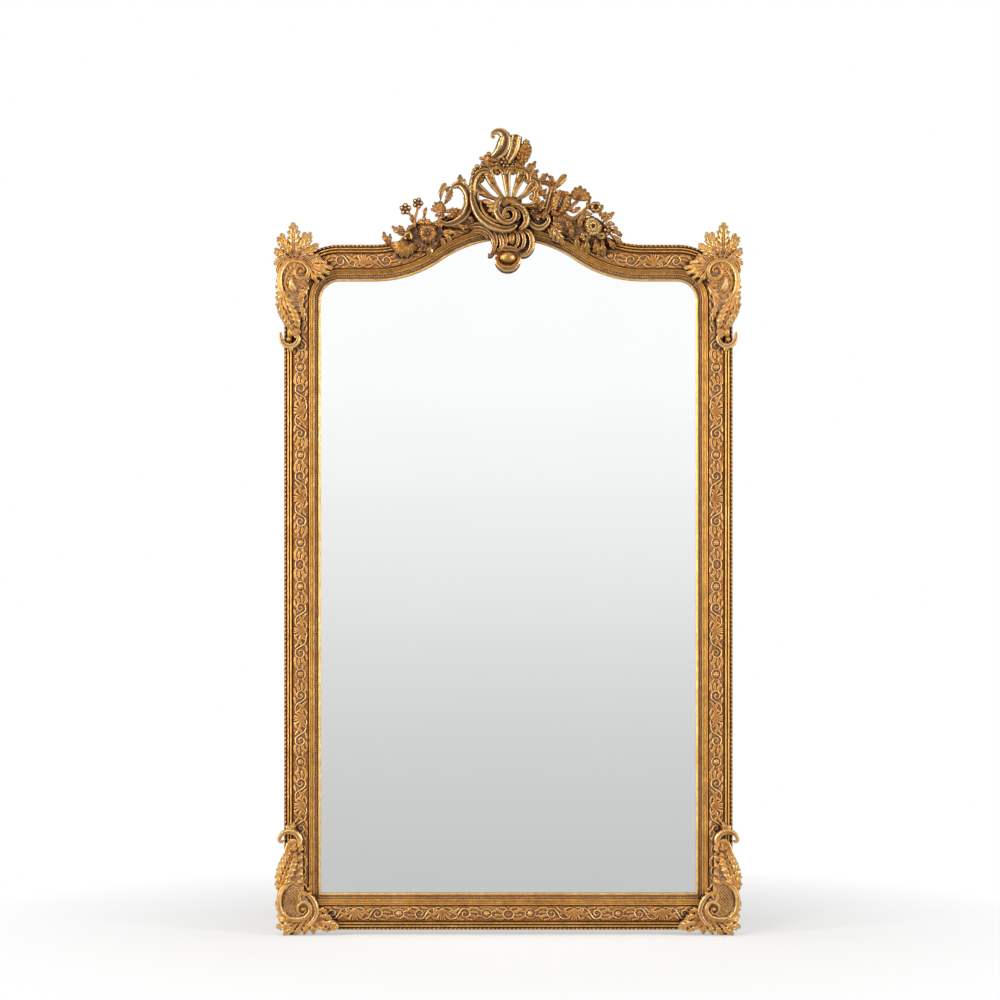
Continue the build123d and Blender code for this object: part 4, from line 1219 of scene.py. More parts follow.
    def frieze(self, pattern: Rinceau) -> Casting:
        """Builds the frieze: its crowned ground with the scrollwork raised on it.

        The height is an arc across the frieze plus the pattern's relief, read by the distance along the
        rail from its middle, so that the scrolls face each other there.

        Args:
            pattern: The scrollwork.

        Returns:
            The piece's arrays.
        """
        base, out, run = RailPath(self.layout, self.side).stations(1.15)
        inner, outer = self.frieze_line - self.frieze_half, self.frieze_line + self.frieze_half
        d = np.linspace(inner, outer, 34)
        middle = 0.5 * run[-1] if self.side in (Side.TOP, Side.BOTTOM) else 0.5 * run[-1] + 60.0
        along = np.abs(run - middle)[:, None] + 49.0
        across = (d - self.frieze_line)[None, :]
        ground = 37.6 + 2.8 * (1 - (across / self.frieze_half) ** 2)
        fade = np.clip((self.frieze_half - 0.2 - np.abs(across)) / 1.4, 0, 1)
        height = ground + pattern.read(along + 0 * across, across + 0 * along) * fade
        loop_d = np.concatenate([d, [outer, self.frieze_line, inner]])
        under = np.full((len(base), 3), self.frieze_back)
        carving = Carving(self.layout)
        carving.shell(sweep(base, out, loop_d, np.concatenate([height, under], 1)), flat_ends=True, sharp=1.0)
        return carving.build(f"{self.side.value}_rinceau_frieze", self.relief)


# ------------------------------------------------------------------ corners and crest


@dataclass
class Corner:
    """A carved corner: acanthus, C-scrolls and a feathered stem over a fluted ground.

    Args:
        layout: The places of the frame.
        top: Whether it is a top corner.
        turn: Whether it is drawn or mirrored.
    """

    layout: Layout
    top: bool
    turn: Turn

    def name(self) -> str:
        """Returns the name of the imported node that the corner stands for."""
        side = "left" if self.turn is Turn.AS_DRAWN else "right"
        return f"{'top' if self.top else 'bottom'}_{side}_corner_casting"

    def build(self, relief: Relief) -> Casting:
        """Carves the corner.

        Args:
            relief: The height map to take part in.

        Returns:
            The piece's arrays.
        """
        carving = Carving(self.layout)
        place = self.layout
        if self.top:
            self._top(Carver(carving, (-place.half_outer, place.outer_top), -1.0))
        else:
            self._bottom(Carver(carving, (-place.half_outer, place.foot)))
        return carving.build(self.name() + "_carving", relief, self.turn)

    def _top(self, cut: Carver) -> None:
        """Carves a top corner; the local axes run inwards and down from the frame's outer corner."""
        cut.ground(
            [
                (2, 4), (24, -12), (48, 4), (66, 34), (74, 60), (56, 84), (46, 120), (38, 170), (34, 206),
                (24, 208), (8, 184), (-2, 140), (-8, 90), (-12, 40),
            ],
            3.5, dome=3.5, depth=2.0, eye=(30, 70),
        )
        crown = (
            ((20, 40), (-8, 36), (-21, 47), 15, 8), ((22, 36), (-10, 22), (-21, 20), 20, 10),
            ((20, 34), (0, 2), (-13, -14), 24, 13), ((34, 36), (58, 20), (78, -1), 20, 9),
            ((30, 34), (50, 2), (61, -26), 22, 12), ((24, 36), (24, -8), (22, -47), 32, 15),
        )
        for root, mid, tip, width, rise in crown:
            cut.leaf(
                [(*root, 7), (*mid, rise + 3), (*tip, rise)], width, lobes=6, cut=0.5, arch=0.42, peak=0.5,
            )
            for side, reach in ((-0.32, 0.72), (0.32, 0.74)):
                way = (tip[0] - root[0], tip[1] - root[1])
                end = (root[0] + reach * way[0] - side * way[1], root[1] + reach * way[1] + side * way[0])
                half = (
                    0.5 * (root[0] + end[0]) - 0.2 * side * way[1],
                    0.5 * (root[1] + end[1]) + 0.2 * side * way[0],
                )
                cut.leaf(
                    [(*root, 6), (*half, rise), (*end, rise - 4)], 0.62 * width, cut=0.5, arch=0.45,
                    peak=0.55,
                )
        for root, mid, tip, width in (
            ((20, 40), (0, 26), (-12, 12), 15), ((24, 38), (12, 12), (4, -8), 15),
            ((28, 38), (34, 10), (40, -10), 16), ((32, 40), (48, 22), (62, 8), 14),
        ):
            cut.leaf([(*root, 12), (*mid, 18), (*tip, 14)], width, lobes=4, cut=0.6, arch=0.45, peak=0.55)
        cut.scroll(
            [(-14, 66), (-10, 48), (2, 32), (18, 26), (34, 26), (48, 32), (60, 42), (68, 54)],
            [5, 10, 12, 13, 13, 12, 10, 5], 15, reeds=2, hollow=0.6,
        )
        for k, (x, z) in enumerate([(-12, 76), (-14, 90), (-13, 104), (-9, 118)]):
            cut.leaf([(x + 8, z - 6, 7), (x + 3, z, 11), (x - 3, z + 10 - k, 7)], 9, lobes=1)
        cut.scroll(
            [
                (34, 128), (16, 128), (-1, 113), (-8, 88), (-5, 62), (8, 42), (26, 36), (44, 40), (56, 54),
                (56, 68), (48, 78), (36, 78), (27, 69), (28, 57), (38, 50), (46, 56), (45, 64), (39, 65),
            ],
            [5, 9, 12, 13, 13, 13, 13, 13, 13, 12, 12, 11, 10, 8, 7, 6, 4, 3],
            [10, 14, 17, 19, 19, 19, 19, 18, 17, 17, 17, 17, 17, 17, 16, 16, 16, 16], hollow=0.28, tilt=-0.25,
            crown=2.4,
        )
        cut.scroll(
            [(38, 118), (20, 114), (7, 100), (4, 82), (11, 64), (24, 54)], [3, 5, 6, 6, 5, 3],
            [9, 12, 13, 13, 13, 10], hollow=0.3, crown=2.0,
        )
        cut.bead(39, 62, 4.5, 20)
        cut.leaf([(22, 68, 9), (18, 88, 15), (27, 110, 9)], 17, lobes=1, arch=0.8, peak=0.55)
        for (x, z), turn in zip(
            ((36, 92), (40, 104), (12, 104), (10, 86), (34, 84), (44, 94)), (60, 50, 120, 90, 20, 40),
        ):
            cut.bead(x, z, 3.6, 11, stretch=1.7, turn=turn, sides=12)
        for tip, mid, width in (
            ((98, 42), (76, 40), 13), ((110, 54), (84, 50), 15), ((104, 66), (82, 58), 14),
            ((92, 78), (76, 66), 13), ((78, 88), (68, 74), 12), ((84, 30), (70, 36), 11),
        ):
            cut.leaf([(56, 46, 7), (*mid, 14), (*tip, 7)], width, cut=0.5, arch=0.45, peak=0.6)
        cut.scroll([(64, 40), (72, 52), (72, 66), (62, 78)], [4, 7, 7, 4], 15)
        cut.leaf([(58, 88, 8), (48, 106, 14), (32, 124, 9)], 17, lobes=4, cut=0.55, arch=0.4)
        cut.frond(
            [(-5, 100, 8), (1, 128, 13), (12, 156, 15), (24, 184, 13), (31, 206, 8)], 36, 8, stem=13,
            lean=1.7, cut=0.45,
        )
        cut.leaf([(34, 126, 7), (42, 146, 12), (46, 170, 8)], 14, lobes=4, cut=0.55, arch=0.4)
        cut.leaf([(10, 186, 7), (14, 196, 10), (15, 208, 7)], 10, lobes=1)
        cut.scroll(
            [(-6, 196), (-5, 212), (4, 225), (19, 228), (31, 220), (34, 208), (27, 201), (20, 206)],
            [4, 9, 12, 12, 12, 10, 7, 4], 13, hollow=0.5, tilt=-0.2,
        )
        cut.bead(12, 213, 5.5, 10)
        cut.leaf([(14, 230, 8), (17, 235, 8), (20, 240, 6)], 9, lobes=1)

    def _bottom(self, cut: Carver) -> None:
        """Carves a bottom corner; the local axes run inwards and up from the carcass's outer corner."""
        cut.ground(
            [
                (2, -2), (40, -2), (84, 4), (96, 18), (84, 36), (66, 60), (48, 84), (44, 120), (42, 160),
                (34, 196), (24, 206), (8, 198), (-2, 160), (-6, 110), (-10, 60), (-10, 20),
            ],
            3.0, dome=3.5, depth=1.8, eye=(46, 46),
        )
        cut.ground(
            [(8, 42), (26, 36), (36, 62), (34, 94), (18, 100), (2, 84), (0, 58)], 8.0, dome=2.0,
            work=Field.NET,
        )
        cut.scroll(
            [(34, 186), (37, 202), (31, 215), (17, 222), (2, 220), (-7, 211), (-9, 203), (-4, 199), (2, 203)],
            [8, 12, 14, 14, 13, 11, 9, 7, 5], [13, 14, 15, 16, 16, 15, 14, 13, 12], hollow=0.25, tilt=-0.2,
            crown=2.4,
        )
        cut.bead(14, 198, 5.0, 9)
        cut.leaf([(18, 222, 9), (20, 232, 13), (24, 243, 9)], 13, cut=0.5)
        cut.leaf([(8, 224, 8), (10, 232, 11), (12, 238, 8)], 9, lobes=1)
        cut.frond(
            [(-7, 84, 8), (-1, 112, 14), (8, 140, 16), (18, 168, 14), (25, 196, 8)], 36, 8, stem=13, lean=1.7,
            cut=0.45,
        )
        for k in range(5):
            cut.leaf(
                [(22 + 2 * k, 100 + 18 * k, 7), (33 + k, 108 + 18 * k, 12), (42, 120 + 18 * k, 7)], 11,
                cut=0.5, arch=0.45,
            )
        cut.scroll(
            [
                (32, 110), (16, 108), (-2, 94), (-9, 70), (-5, 44), (10, 29), (32, 26), (50, 31), (60, 45),
                (57, 60), (46, 66), (34, 59), (33, 46), (42, 39), (50, 44), (49, 52), (44, 53),
            ],
            [5, 9, 12, 13, 13, 13, 13, 13, 13, 12, 11, 10, 8, 7, 5, 4, 3],
            [10, 14, 17, 19, 19, 18, 18, 18, 17, 17, 17, 17, 17, 17, 16, 16, 16], hollow=0.28, tilt=0.25,
            crown=2.4,
        )
        cut.scroll(
            [(38, 88), (52, 84), (66, 70), (74, 52), (74, 36), (64, 20), (52, 10), (40, 6)],
            [5, 8, 10, 11, 11, 10, 8, 4], 13, hollow=0.5,
        )
        cut.bead(44, 50, 4.5, 20)
        cut.scroll(
            [(38, 66), (36, 78), (42, 86), (48, 80), (44, 76)], [7, 8, 8, 6, 3], 14, hollow=0.2, crown=2.4,
        )
        for root, mid, tip, width, rise in (
            ((72, 44), (86, 48), (98, 40), 13, 9), ((76, 32), (92, 34), (108, 26), 17, 11),
            ((78, 22), (100, 18), (123, 8), 20, 11), ((74, 12), (90, 6), (106, 2), 14, 9),
            ((30, 24), (4, 26), (-14, 36), 19, 11), ((28, 22), (4, 12), (-16, 10), 20, 12),
            ((34, 20), (16, 4), (0, -8), 18, 12), ((10, 46), (-8, 54), (-17, 66), 13, 9),
            ((42, 20), (34, 4), (24, -8), 16, 12), ((52, 22), (50, 6), (46, -8), 15, 12),
            ((62, 20), (66, 6), (68, -7), 14, 10), ((18, 26), (2, 40), (-16, 50), 14, 10),
        ):
            cut.leaf(
                [(*root, 7), (*mid, rise + 2), (*tip, rise - 3)], width, lobes=4, cut=0.55, arch=0.42,
                peak=0.55,
            )
        cut.scroll([(100, 26), (112, 20), (120, 10), (112, 4), (104, 9)], [5, 7, 7, 5, 3], 15)
        for x, z, r in ((66, 72, 5.5), (60, 84, 4.5), (56, 94, 3.8), (82, 40, 4.0)):
            cut.bead(x, z, r, 11)


@dataclass
class Crest:
    """The pierced crest: a shell under a plume, a bowl scroll, a pendant, and flowering sprays at each side.

    Args:
        layout: The places of the frame.
    """

    layout: Layout

    def build(self, relief: Relief) -> list[Casting]:
        """Carves the eight parts of the crest.

        Args:
            relief: The height map to take part in.

        Returns:
            The parts' arrays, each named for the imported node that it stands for.
        """
        parts: list[tuple[str, Callable[[Carver], None]]] = [
            ("crest_shell", self.shell),
            ("crest_plume", self.plume),
            ("crest_bowl_scroll", self.bowl),
            ("crest_pendant", self.pendant),
            ("crest_left_scroll", self.left_scroll),
            ("crest_left_spray", self.left_spray),
            ("crest_right_scroll", self.right_scroll),
            ("crest_right_spray", self.right_spray),
        ]
        made = []
        for name, carve in parts:
            carving = Carving(self.layout)
            carve(Carver(carving, (0.0, self.layout.crown)))
            made.append(carving.build(name + "_carving", relief))
        return made

    def plume(self, cut: Carver) -> None:
        """Carves the plume: a curling reeded band, a beaded band, a ribbed leaf and a knot of flowers."""
        cut.ground(
            [
                (-47.3, 86.5), (-35.7, 101.0), (-21.1, 115.5), (-11.0, 139.5), (5.7, 145.3), (23.2, 142.4),
                (30.8, 125.0), (34.4, 95.9), (29.0, 75.6), (3.6, 72.0), (-29.1, 74.1),
            ],
            4.0, dome=4.0, depth=1.6, eye=(-0.1, 63.2),
        )
        cut.scroll(
            [
                (-42.2, 94.5), (-27.7, 101.7), (-15.3, 113.4), (-8.8, 128.6), (-8.1, 144.6), (-16.8, 154.8),
                (-28.4, 155.5), (-35.7, 150.4), (-34.9, 143.9), (-29.1, 143.9),
            ],
            [8, 20, 29, 33, 34, 29, 20, 13, 8, 5], [10, 16, 22, 27, 29, 29, 27, 25, 24, 23], hollow=0.42,
            tilt=0.22,
        )
        cut.scroll(
            [(-28.4, 104.6), (-20.4, 114.1), (-16.8, 128.6), (-17.5, 142.4)], [3, 4, 4, 3], [18, 23, 27, 27],
            hollow=0.1, crown=2.0,
        )
        cut.bead(-44.0, 105.4, 5.8, 16)
        cut.bead(-50.9, 100.3, 4.2, 13)
        cut.scroll(
            [(-8.1, 85.8), (4.3, 98.1), (11.5, 112.3), (15.2, 126.8), (17.4, 140.2), (19.5, 149.0)],
            [12, 20, 24, 26, 27, 25], [14, 18, 22, 24, 24, 22], tilt=-0.1,
        )
        for x, z, r in ((15.9, 140.2, 3.2), (14.5, 129.3, 3.4), (11.9, 117.7, 3.4), (7.2, 106.1, 3.2)):
            cut.bead(x, z, r, 20, stretch=1.2, turn=80)
        cut.frond(
            [(21.0, 78.5, 10), (29.0, 93.8, 16), (36.2, 110.5, 19), (39.9, 125.0, 17), (39.1, 136.6, 13)], 25,
            7, stem=6, lean=1.6, cut=0.1,
        )
        for x, z in ((39.1, 122.1), (35.5, 111.9), (41.7, 110.5), (31.9, 100.3), (38.4, 98.1), (29.0, 90.1)):
            cut.bead(x, z, 3.8, 23, stretch=1.8, turn=78)
        cut.flower(-6.6, 86.5, 12.5, 6, rise=24)
        cut.flower(-22.6, 87.9, 9.5, 5, rise=20)
        cut.flower(10.1, 82.9, 8.5, 5, rise=18)
        for points, width in (
            ([(-18.2, 87.9, 10), (-41.5, 93.8, 17), (-65.5, 96.7, 12)], 14),
            ([(-27.3, 81.4, 10), (-43.7, 84.3, 16), (-61.1, 87.9, 10)], 13),
            ([(14.5, 85.0, 12), (23.2, 78.5, 17), (20.3, 68.3, 12)], 15),
            ([(-32.8, 87.9, 12), (-43.7, 92.3, 17), (-55.3, 90.1, 12)], 10),
            ([(-14.6, 77.8, 14), (-25.5, 74.1, 19), (-37.8, 74.1, 13)], 14),
            ([(-3.0, 77.8, 14), (3.6, 72.7, 19), (15.2, 72.0, 13)], 14),
        ):
            cut.leaf(points, width, cut=0.5, arch=0.45)

    def shell(self, cut: Carver) -> None:
        """Carves the shell: fluted ribs that spread from the hub to a rim of small arches."""
        cut.scroll(
            [
                (-74.2, -5.8), (-75.6, 16.0), (-73.4, 39.3), (-61.1, 58.2), (-42.2, 68.3), (-20.4, 74.1),
                (4.3, 75.6), (28.3, 69.1), (46.4, 56.0), (58.8, 39.3), (61.7, 16.0), (58.0, -13.0),
            ],
            [14, 18, 21, 22, 21, 19, 19, 21, 22, 20, 16, 12], 10, reeds=3, hollow=0.35,
        )
        ribs = (
            ([(-17.5, -4.3), (-37.8, -5.8), (-65.5, -0.7)], [7, 9, 13]),
            ([(-14.6, 2.2), (-34.9, 8.8), (-50.9, 17.5), (-74.2, 34.2)], [7, 10, 19, 26]),
            ([(-10.2, 5.9), (-24.8, 25.5), (-37.1, 44.4), (-49.5, 75.6)], [8, 13, 20, 30]),
            ([(0.7, 7.3), (-2.3, 28.7), (-4.4, 48.7), (-5.9, 80.0)], [9, 14, 19, 30]),
            ([(10.1, 7.3), (15.9, 26.9), (23.2, 45.1), (35.5, 75.6)], [8, 13, 20, 30]),
            ([(17.4, 3.7), (37.0, 16.8), (50.0, 32.0), (68.9, 50.2)], [7, 12, 21, 28]),
            ([(21.7, -5.0), (39.9, -8.7), (61.7, -5.8)], [7, 10, 14]),
        )
        for points, widths in ribs:
            cut.scroll(points, widths, [12, 11, 12, 14], hollow=0.38, count=30)
        for x, z, reach in (
            (-24.8, 66.1, 7.5), (10.1, 66.9, 7.5), (45.7, 47.3, 8.5), (-61.8, 50.2, 8.5), (-56.7, 18.9, 7.0),
            (53.0, 9.5, 7.0),
        ):
            cut.bead(x, z, reach, 12, sides=20)
        for points, _ in ribs:
            cut.scroll(points[:-1], [4, 5, 3], [11, 10, 9], hollow=0.0, count=18, crown=2.0)
        arches = (
            (
                [
                    (-77.8, 10.2), (-80.0, 29.1), (-76.3, 49.4), (-66.2, 63.2), (-52.4, 68.3), (-42.2, 63.2),
                    (-40.8, 54.5), (-47.3, 52.3),
                ],
                [12, 16, 18, 18, 17, 14, 9, 5], 19, -0.2,
            ),
            (
                [(-44.4, 56.0), (-42.2, 69.8), (-33.5, 77.8), (-21.1, 76.3), (-12.4, 67.6), (-10.2, 58.2)],
                [10, 14, 15, 15, 13, 8], 17, -0.2,
            ),
            (
                [(-8.1, 58.9), (-3.7, 69.8), (7.9, 75.6), (21.7, 74.9), (31.9, 67.6), (29.7, 58.2)],
                [10, 14, 15, 15, 13, 8], 16, -0.2,
            ),
            (
                [(20.3, 72.0), (33.3, 72.0), (43.5, 63.2), (45.7, 50.9), (40.6, 45.1), (34.8, 50.2)],
                [12, 15, 15, 13, 9, 5], 19, -0.2,
            ),
            (
                [(42.8, 48.0), (55.1, 50.9), (66.0, 43.6), (67.5, 31.3), (60.9, 21.1)], [11, 14, 14, 12, 7],
                16, -0.2,
            ),
            ([(61.7, 26.9), (62.4, 12.4), (58.0, -0.7), (60.9, -15.9)], [10, 12, 12, 9], 13, 0.0),
            ([(-66.9, 24.7), (-71.3, 12.4), (-69.1, -2.1), (-61.8, -14.5)], [10, 12, 12, 9], 13, 0.0),
        )
        for points, widths, rise, tilt in arches:
            cut.scroll(points, widths, rise, tilt=tilt)
        for tips, root in (
            (
                (
                    (-71.3, 82.9), (-77.8, 74.1), (-81.4, 66.1), (-84.3, 56.0), (-85.1, 44.4), (-85.8, 32.7),
                    (-84.3, 21.8),
                ),
                (-65.5, 48.7),
            ),
            (((-61.8, 84.3), (-52.4, 82.9), (-65.5, 77.8), (-43.7, 80.7)), (-47.3, 63.2)),
        ):
            for tip in tips:
                near = (0.45 * root[0] + 0.55 * tip[0], 0.45 * root[1] + 0.55 * tip[1])
                cut.burst(near, [tip], (10, 16, 10), 10, part=0.7, lobes=1, arch=0.6, peak=0.6)
        for x, z, r in (
            (-29.1, 77.0, 5.5), (15.2, 74.1, 5.5), (-43.7, 67.6, 5.0), (34.8, 66.1, 4.5), (-61.8, 55.3, 4.2),
        ):
            cut.flower(x, z, 2.0 * r, 5, rise=20)
        for points, width in (
            ([(41.7, 63.2, 10), (51.5, 74.9, 15), (60.9, 90.1, 10)], 15),
            ([(43.5, 59.6, 10), (56.2, 63.2, 15), (67.5, 69.8, 10)], 14),
            ([(44.2, 55.3, 8), (56.2, 56.0, 12), (66.0, 57.8, 8)], 12),
            ([(39.9, 66.9, 8), (45.0, 77.0, 13), (47.9, 85.8, 8)], 11),
            ([(-43.7, 59.6, 12), (-39.3, 48.0, 18), (-28.4, 40.7, 12)], 11),
            ([(29.0, 59.6, 12), (24.6, 49.4, 18), (14.5, 42.2, 12)], 11),
            ([(65.3, 37.8, 8), (72.6, 26.9, 12), (71.1, 12.4, 8)], 12),
            ([(61.7, 12.4, 8), (66.8, 1.5, 12), (65.3, -13.0, 8)], 12),
        ):
            cut.leaf(points, width, cut=0.5, arch=0.45)
        cut.burst(
            (7, -15.0),
            (
                (-30.6, -9.4), (-29.1, -0.7), (-21.1, 5.9), (-10.2, 9.5), (1.4, 10.2), (13.0, 8.0),
                (21.7, 1.5), (25.3, -7.2),
            ),
            (15, 22, 17), 12, lobes=2, cut=0.3, arch=0.6, peak=0.6,
        )

    def bowl(self, cut: Carver) -> None:
        """Carves the bowl scroll: a deep C that cups the shell, with a coiled volute standing in it."""
        cut.ground(
            [
                (-65.5, -5.8), (-43.7, -9.4), (-21.9, -5.8), (7.2, -9.4), (21.7, -20.3), (29.0, -42.1),
                (10.8, -59.5), (-14.6, -62.4), (-43.7, -49.3), (-59.6, -34.8),
            ],
            14.0, dome=6.0, low=12.0, eye=(-7.3, -13.0),
        )
        cut.scroll(
            [
                (-81.4, 23.3), (-79.3, 1.5), (-72.7, -19.6), (-61.8, -37.7), (-44.4, -52.3), (-24.8, -61.0),
                (-5.2, -63.9), (10.8, -59.5), (19.5, -50.8),
            ],
            [8, 14, 17, 18, 19, 19, 18, 15, 8], [24, 30, 34, 38, 41, 43, 43, 41, 38], hollow=0.42, back=14,
            tilt=-0.25,
        )
        cut.scroll(
            [(-62.5, 1.5), (-58.9, -16.7), (-48.0, -33.4), (-29.9, -45.0), (-11.0, -50.1)], [4, 7, 8, 8, 5],
            [26, 31, 35, 37, 37], hollow=0.2, back=12, crown=2.0,
        )
        for tip in ((-57.5, 1.5), (-49.5, -8.7), (-47.3, -22.5), (-37.8, -33.4), (-24.8, -41.4)):
            middle = (0.5 * (tip[0] - 7), 0.5 * (tip[1] - 20))
            cut.leaf([(-7.3, -20.3, 30), (*middle, 31), (*tip, 27)], 13, lobes=2, cut=0.3, arch=0.6, peak=0.6)
        cut.scroll(
            [
                (-13.2, 4.4), (-23.3, -5.8), (-26.2, -23.2), (-17.5, -40.6), (-1.9, -48.6), (11.5, -42.1),
                (14.5, -29.7), (7.2, -19.6), (-4.4, -19.6), (-10.6, -28.3), (-7.3, -37.0), (0.7, -37.0),
                (2.1, -31.2),
            ],
            [6, 12, 16, 17, 17, 15, 13, 12, 11, 9, 7, 5, 4],
            [34, 38, 41, 44, 46, 46, 46, 46, 46, 46, 46, 46, 46], back=16, tilt=-0.2,
        )
        cut.bead(-3.0, -31.2, 4.5, 48)
        cut.scroll(
            [(3.6, -10.8), (19.5, -11.6), (33.3, -21.7), (39.9, -37.0), (37.0, -53.0), (23.9, -64.6)],
            [6, 12, 15, 16, 15, 9], [30, 34, 37, 38, 37, 34], back=12, tilt=0.25,
        )
        cut.scroll([(10.1, -20.3), (20.3, -23.9), (23.2, -35.5), (17.4, -46.4)], [5, 8, 8, 4], 32, back=12)
        for root, tip in (
            ((-21.9, -5.8), (-30.6, 1.5)), ((-14.6, 1.5), (-18.2, 10.2)), ((-21.9, -20.3), (-33.5, -20.3)),
            ((29.0, -20.3), (38.4, -11.6)), ((34.8, -34.8), (45.0, -33.4)),
        ):
            cut.burst(root, [tip], (34, 38, 30), 9, lobes=1, arch=0.6)

    def pendant(self, cut: Carver) -> None:
        """Carves the pendant: a fan of nested C-scrolls with an egg in it, over a cupped bud."""
        cut.ground(
            [
                (-47.3, -62.4), (-29.1, -61.0), (-0.1, -63.9), (29.0, -62.4), (47.9, -69.7), (50.8, -92.9),
                (33.3, -114.7), (21.7, -132.2), (-1.9, -140.1), (-23.7, -129.3), (-30.9, -107.5),
                (-37.8, -82.0),
            ],
            4.0, depth=2.0, eye=(-1.9, -136.5),
        )
        cut.scroll(
            [
                (-86.5, -58.1), (-69.1, -54.4), (-50.2, -59.5), (-36.4, -71.9), (-29.9, -89.3),
                (-32.0, -106.0), (-37.8, -117.6), (-43.7, -119.8), (-45.1, -114.7),
            ],
            [10, 17, 20, 20, 19, 16, 11, 7, 4], [12, 16, 19, 21, 22, 21, 19, 18, 18], reeds=2, tilt=0.15,
        )
        cut.scroll(
            [(-84.3, -69.0), (-66.9, -66.1), (-53.1, -72.6), (-44.4, -83.5)], [6, 9, 9, 5], 10, hollow=0.5,
        )
        cut.scroll(
            [(-31.3, -66.1), (-19.7, -75.5), (-14.6, -90.0), (-16.8, -104.6), (-24.8, -113.3)],
            [8, 11, 12, 10, 5], [18, 20, 21, 20, 18], tilt=0.2,
        )
        cut.scroll(
            [(-13.9, -64.6), (-7.3, -74.8), (-4.4, -87.8), (-8.1, -103.1)], [7, 9, 9, 5], 19, hollow=0.38,
        )
        cut.bead(7.2, -82.0, 8.4, 22, stretch=1.7, turn=90, sides=24)
        cut.scroll(
            [(10.8, -64.6), (19.5, -71.9), (22.4, -84.9), (18.8, -98.7), (10.8, -105.3)], [6, 8, 9, 8, 4], 19,
            hollow=0.38,
        )
        cut.scroll(
            [(21.7, -63.9), (31.9, -72.6), (35.5, -86.4), (31.9, -100.9), (22.4, -108.2)], [6, 9, 10, 9, 4],
            20, hollow=0.38, tilt=0.15,
        )
        cut.scroll(
            [
                (32.6, -61.7), (46.4, -70.4), (53.0, -86.4), (50.8, -103.8), (41.3, -116.2), (29.7, -119.8),
                (25.3, -115.5),
            ],
            [8, 12, 14, 14, 12, 9, 4], [17, 20, 22, 22, 20, 18, 17], tilt=0.2,
        )
        cut.scroll(
            [(-27.0, -109.6), (-13.9, -105.3), (-1.9, -104.6), (10.8, -106.0), (23.9, -111.1)],
            [6, 11, 14, 11, 6], 19, hollow=0.3, tilt=0.1,
        )
        cut.bead(-1.9, -124.2, 15.5, 18, stretch=1.35, sides=32)
        cut.scroll(
            [
                (-28.4, -122.7), (-24.0, -136.5), (-13.2, -146.7), (-1.9, -149.2), (10.1, -146.7),
                (21.0, -136.5), (25.3, -122.7),
            ],
            [6, 11, 14, 15, 14, 11, 6], [15, 18, 20, 21, 20, 18, 15], hollow=0.1, crown=2.5,
        )

    def left_scroll(self, cut: Carver) -> None:
        """Carves the open C-scroll at the left of the shell, with its leaves."""
        cut.scroll(
            [
                (-128.6, 27.7), (-118.5, 36.4), (-105.4, 36.4), (-93.8, 25.5), (-87.2, 7.3), (-88.0, -11.6),
                (-96.7, -29.0), (-111.2, -42.1), (-130.1, -50.1), (-145.4, -48.6), (-154.8, -39.2),
                (-150.4, -30.5), (-142.5, -33.4), (-143.9, -39.9),
            ],
            [8, 15, 19, 21, 22, 22, 22, 21, 19, 15, 11, 9, 7, 4],
            [12, 15, 17, 19, 20, 20, 20, 20, 19, 18, 17, 17, 16, 16], hollow=0.42, tilt=-0.25,
        )
        cut.scroll(
            [(-98.9, 12.4), (-97.4, -5.8), (-105.4, -22.5), (-121.4, -34.1), (-138.1, -36.3)],
            [4, 6, 7, 6, 4], 11, hollow=0.3, crown=2.0,
        )
        cut.leaf([(-111.9, 35.6, 12), (-108.3, 47.3, 15), (-107.6, 60.3, 8)], 14, cut=0.35)
        cut.leaf([(-101.8, 33.5, 10), (-98.5, 41.5, 13), (-98.5, 50.9, 8)], 9, lobes=1)
        cut.leaf([(-151.2, -1.4, 9), (-150.4, 19.7, 14), (-140.3, 41.5, 9)], 13, lobes=2, cut=0.2, peak=0.6)
        cut.leaf([(-143.2, -7.2, 9), (-135.2, 6.6, 15), (-125.7, 27.7, 9)], 17, lobes=5, cut=0.55)
        cut.burst(
            (-138.1, -20.3),
            ((-173.7, -17.4), (-165.7, -2.1), (-154.8, 0.8), (-163.5, -31.9), (-170.1, -9.4)), (10, 16, 10),
            14, part=0.55, lobes=4, cut=0.5,
        )
        for points, width in (
            ([(-145.4, -23.9, 8), (-130.8, -21.0, 12), (-106.1, -18.8, 8)], 15),
            ([(-87.2, 23.3, 8), (-79.3, 16.8, 12), (-71.3, 11.7, 8)], 12),
            ([(-141.7, -33.4, 8), (-127.2, -31.2, 12), (-112.7, -23.9, 8)], 12),
            ([(-92.3, -34.8, 8), (-82.9, -38.5, 12), (-75.6, -49.3, 8)], 14),
            ([(-116.3, -49.3, 8), (-101.8, -56.6, 12), (-85.1, -53.0, 8)], 14),
            ([(-127.2, 33.5, 8), (-135.2, 29.1, 12), (-138.1, 21.1, 8)], 10),
        ):
            cut.leaf(points, width, lobes=4, cut=0.5)
        cut.ground(
            [
                (-94.5, -34.8), (-80.0, -31.2), (-77.8, -49.3), (-83.6, -59.5), (-101.8, -58.1),
                (-127.2, -57.3), (-123.6, -52.3), (-105.4, -45.0),
            ],
            4.0, depth=1.6,
        )

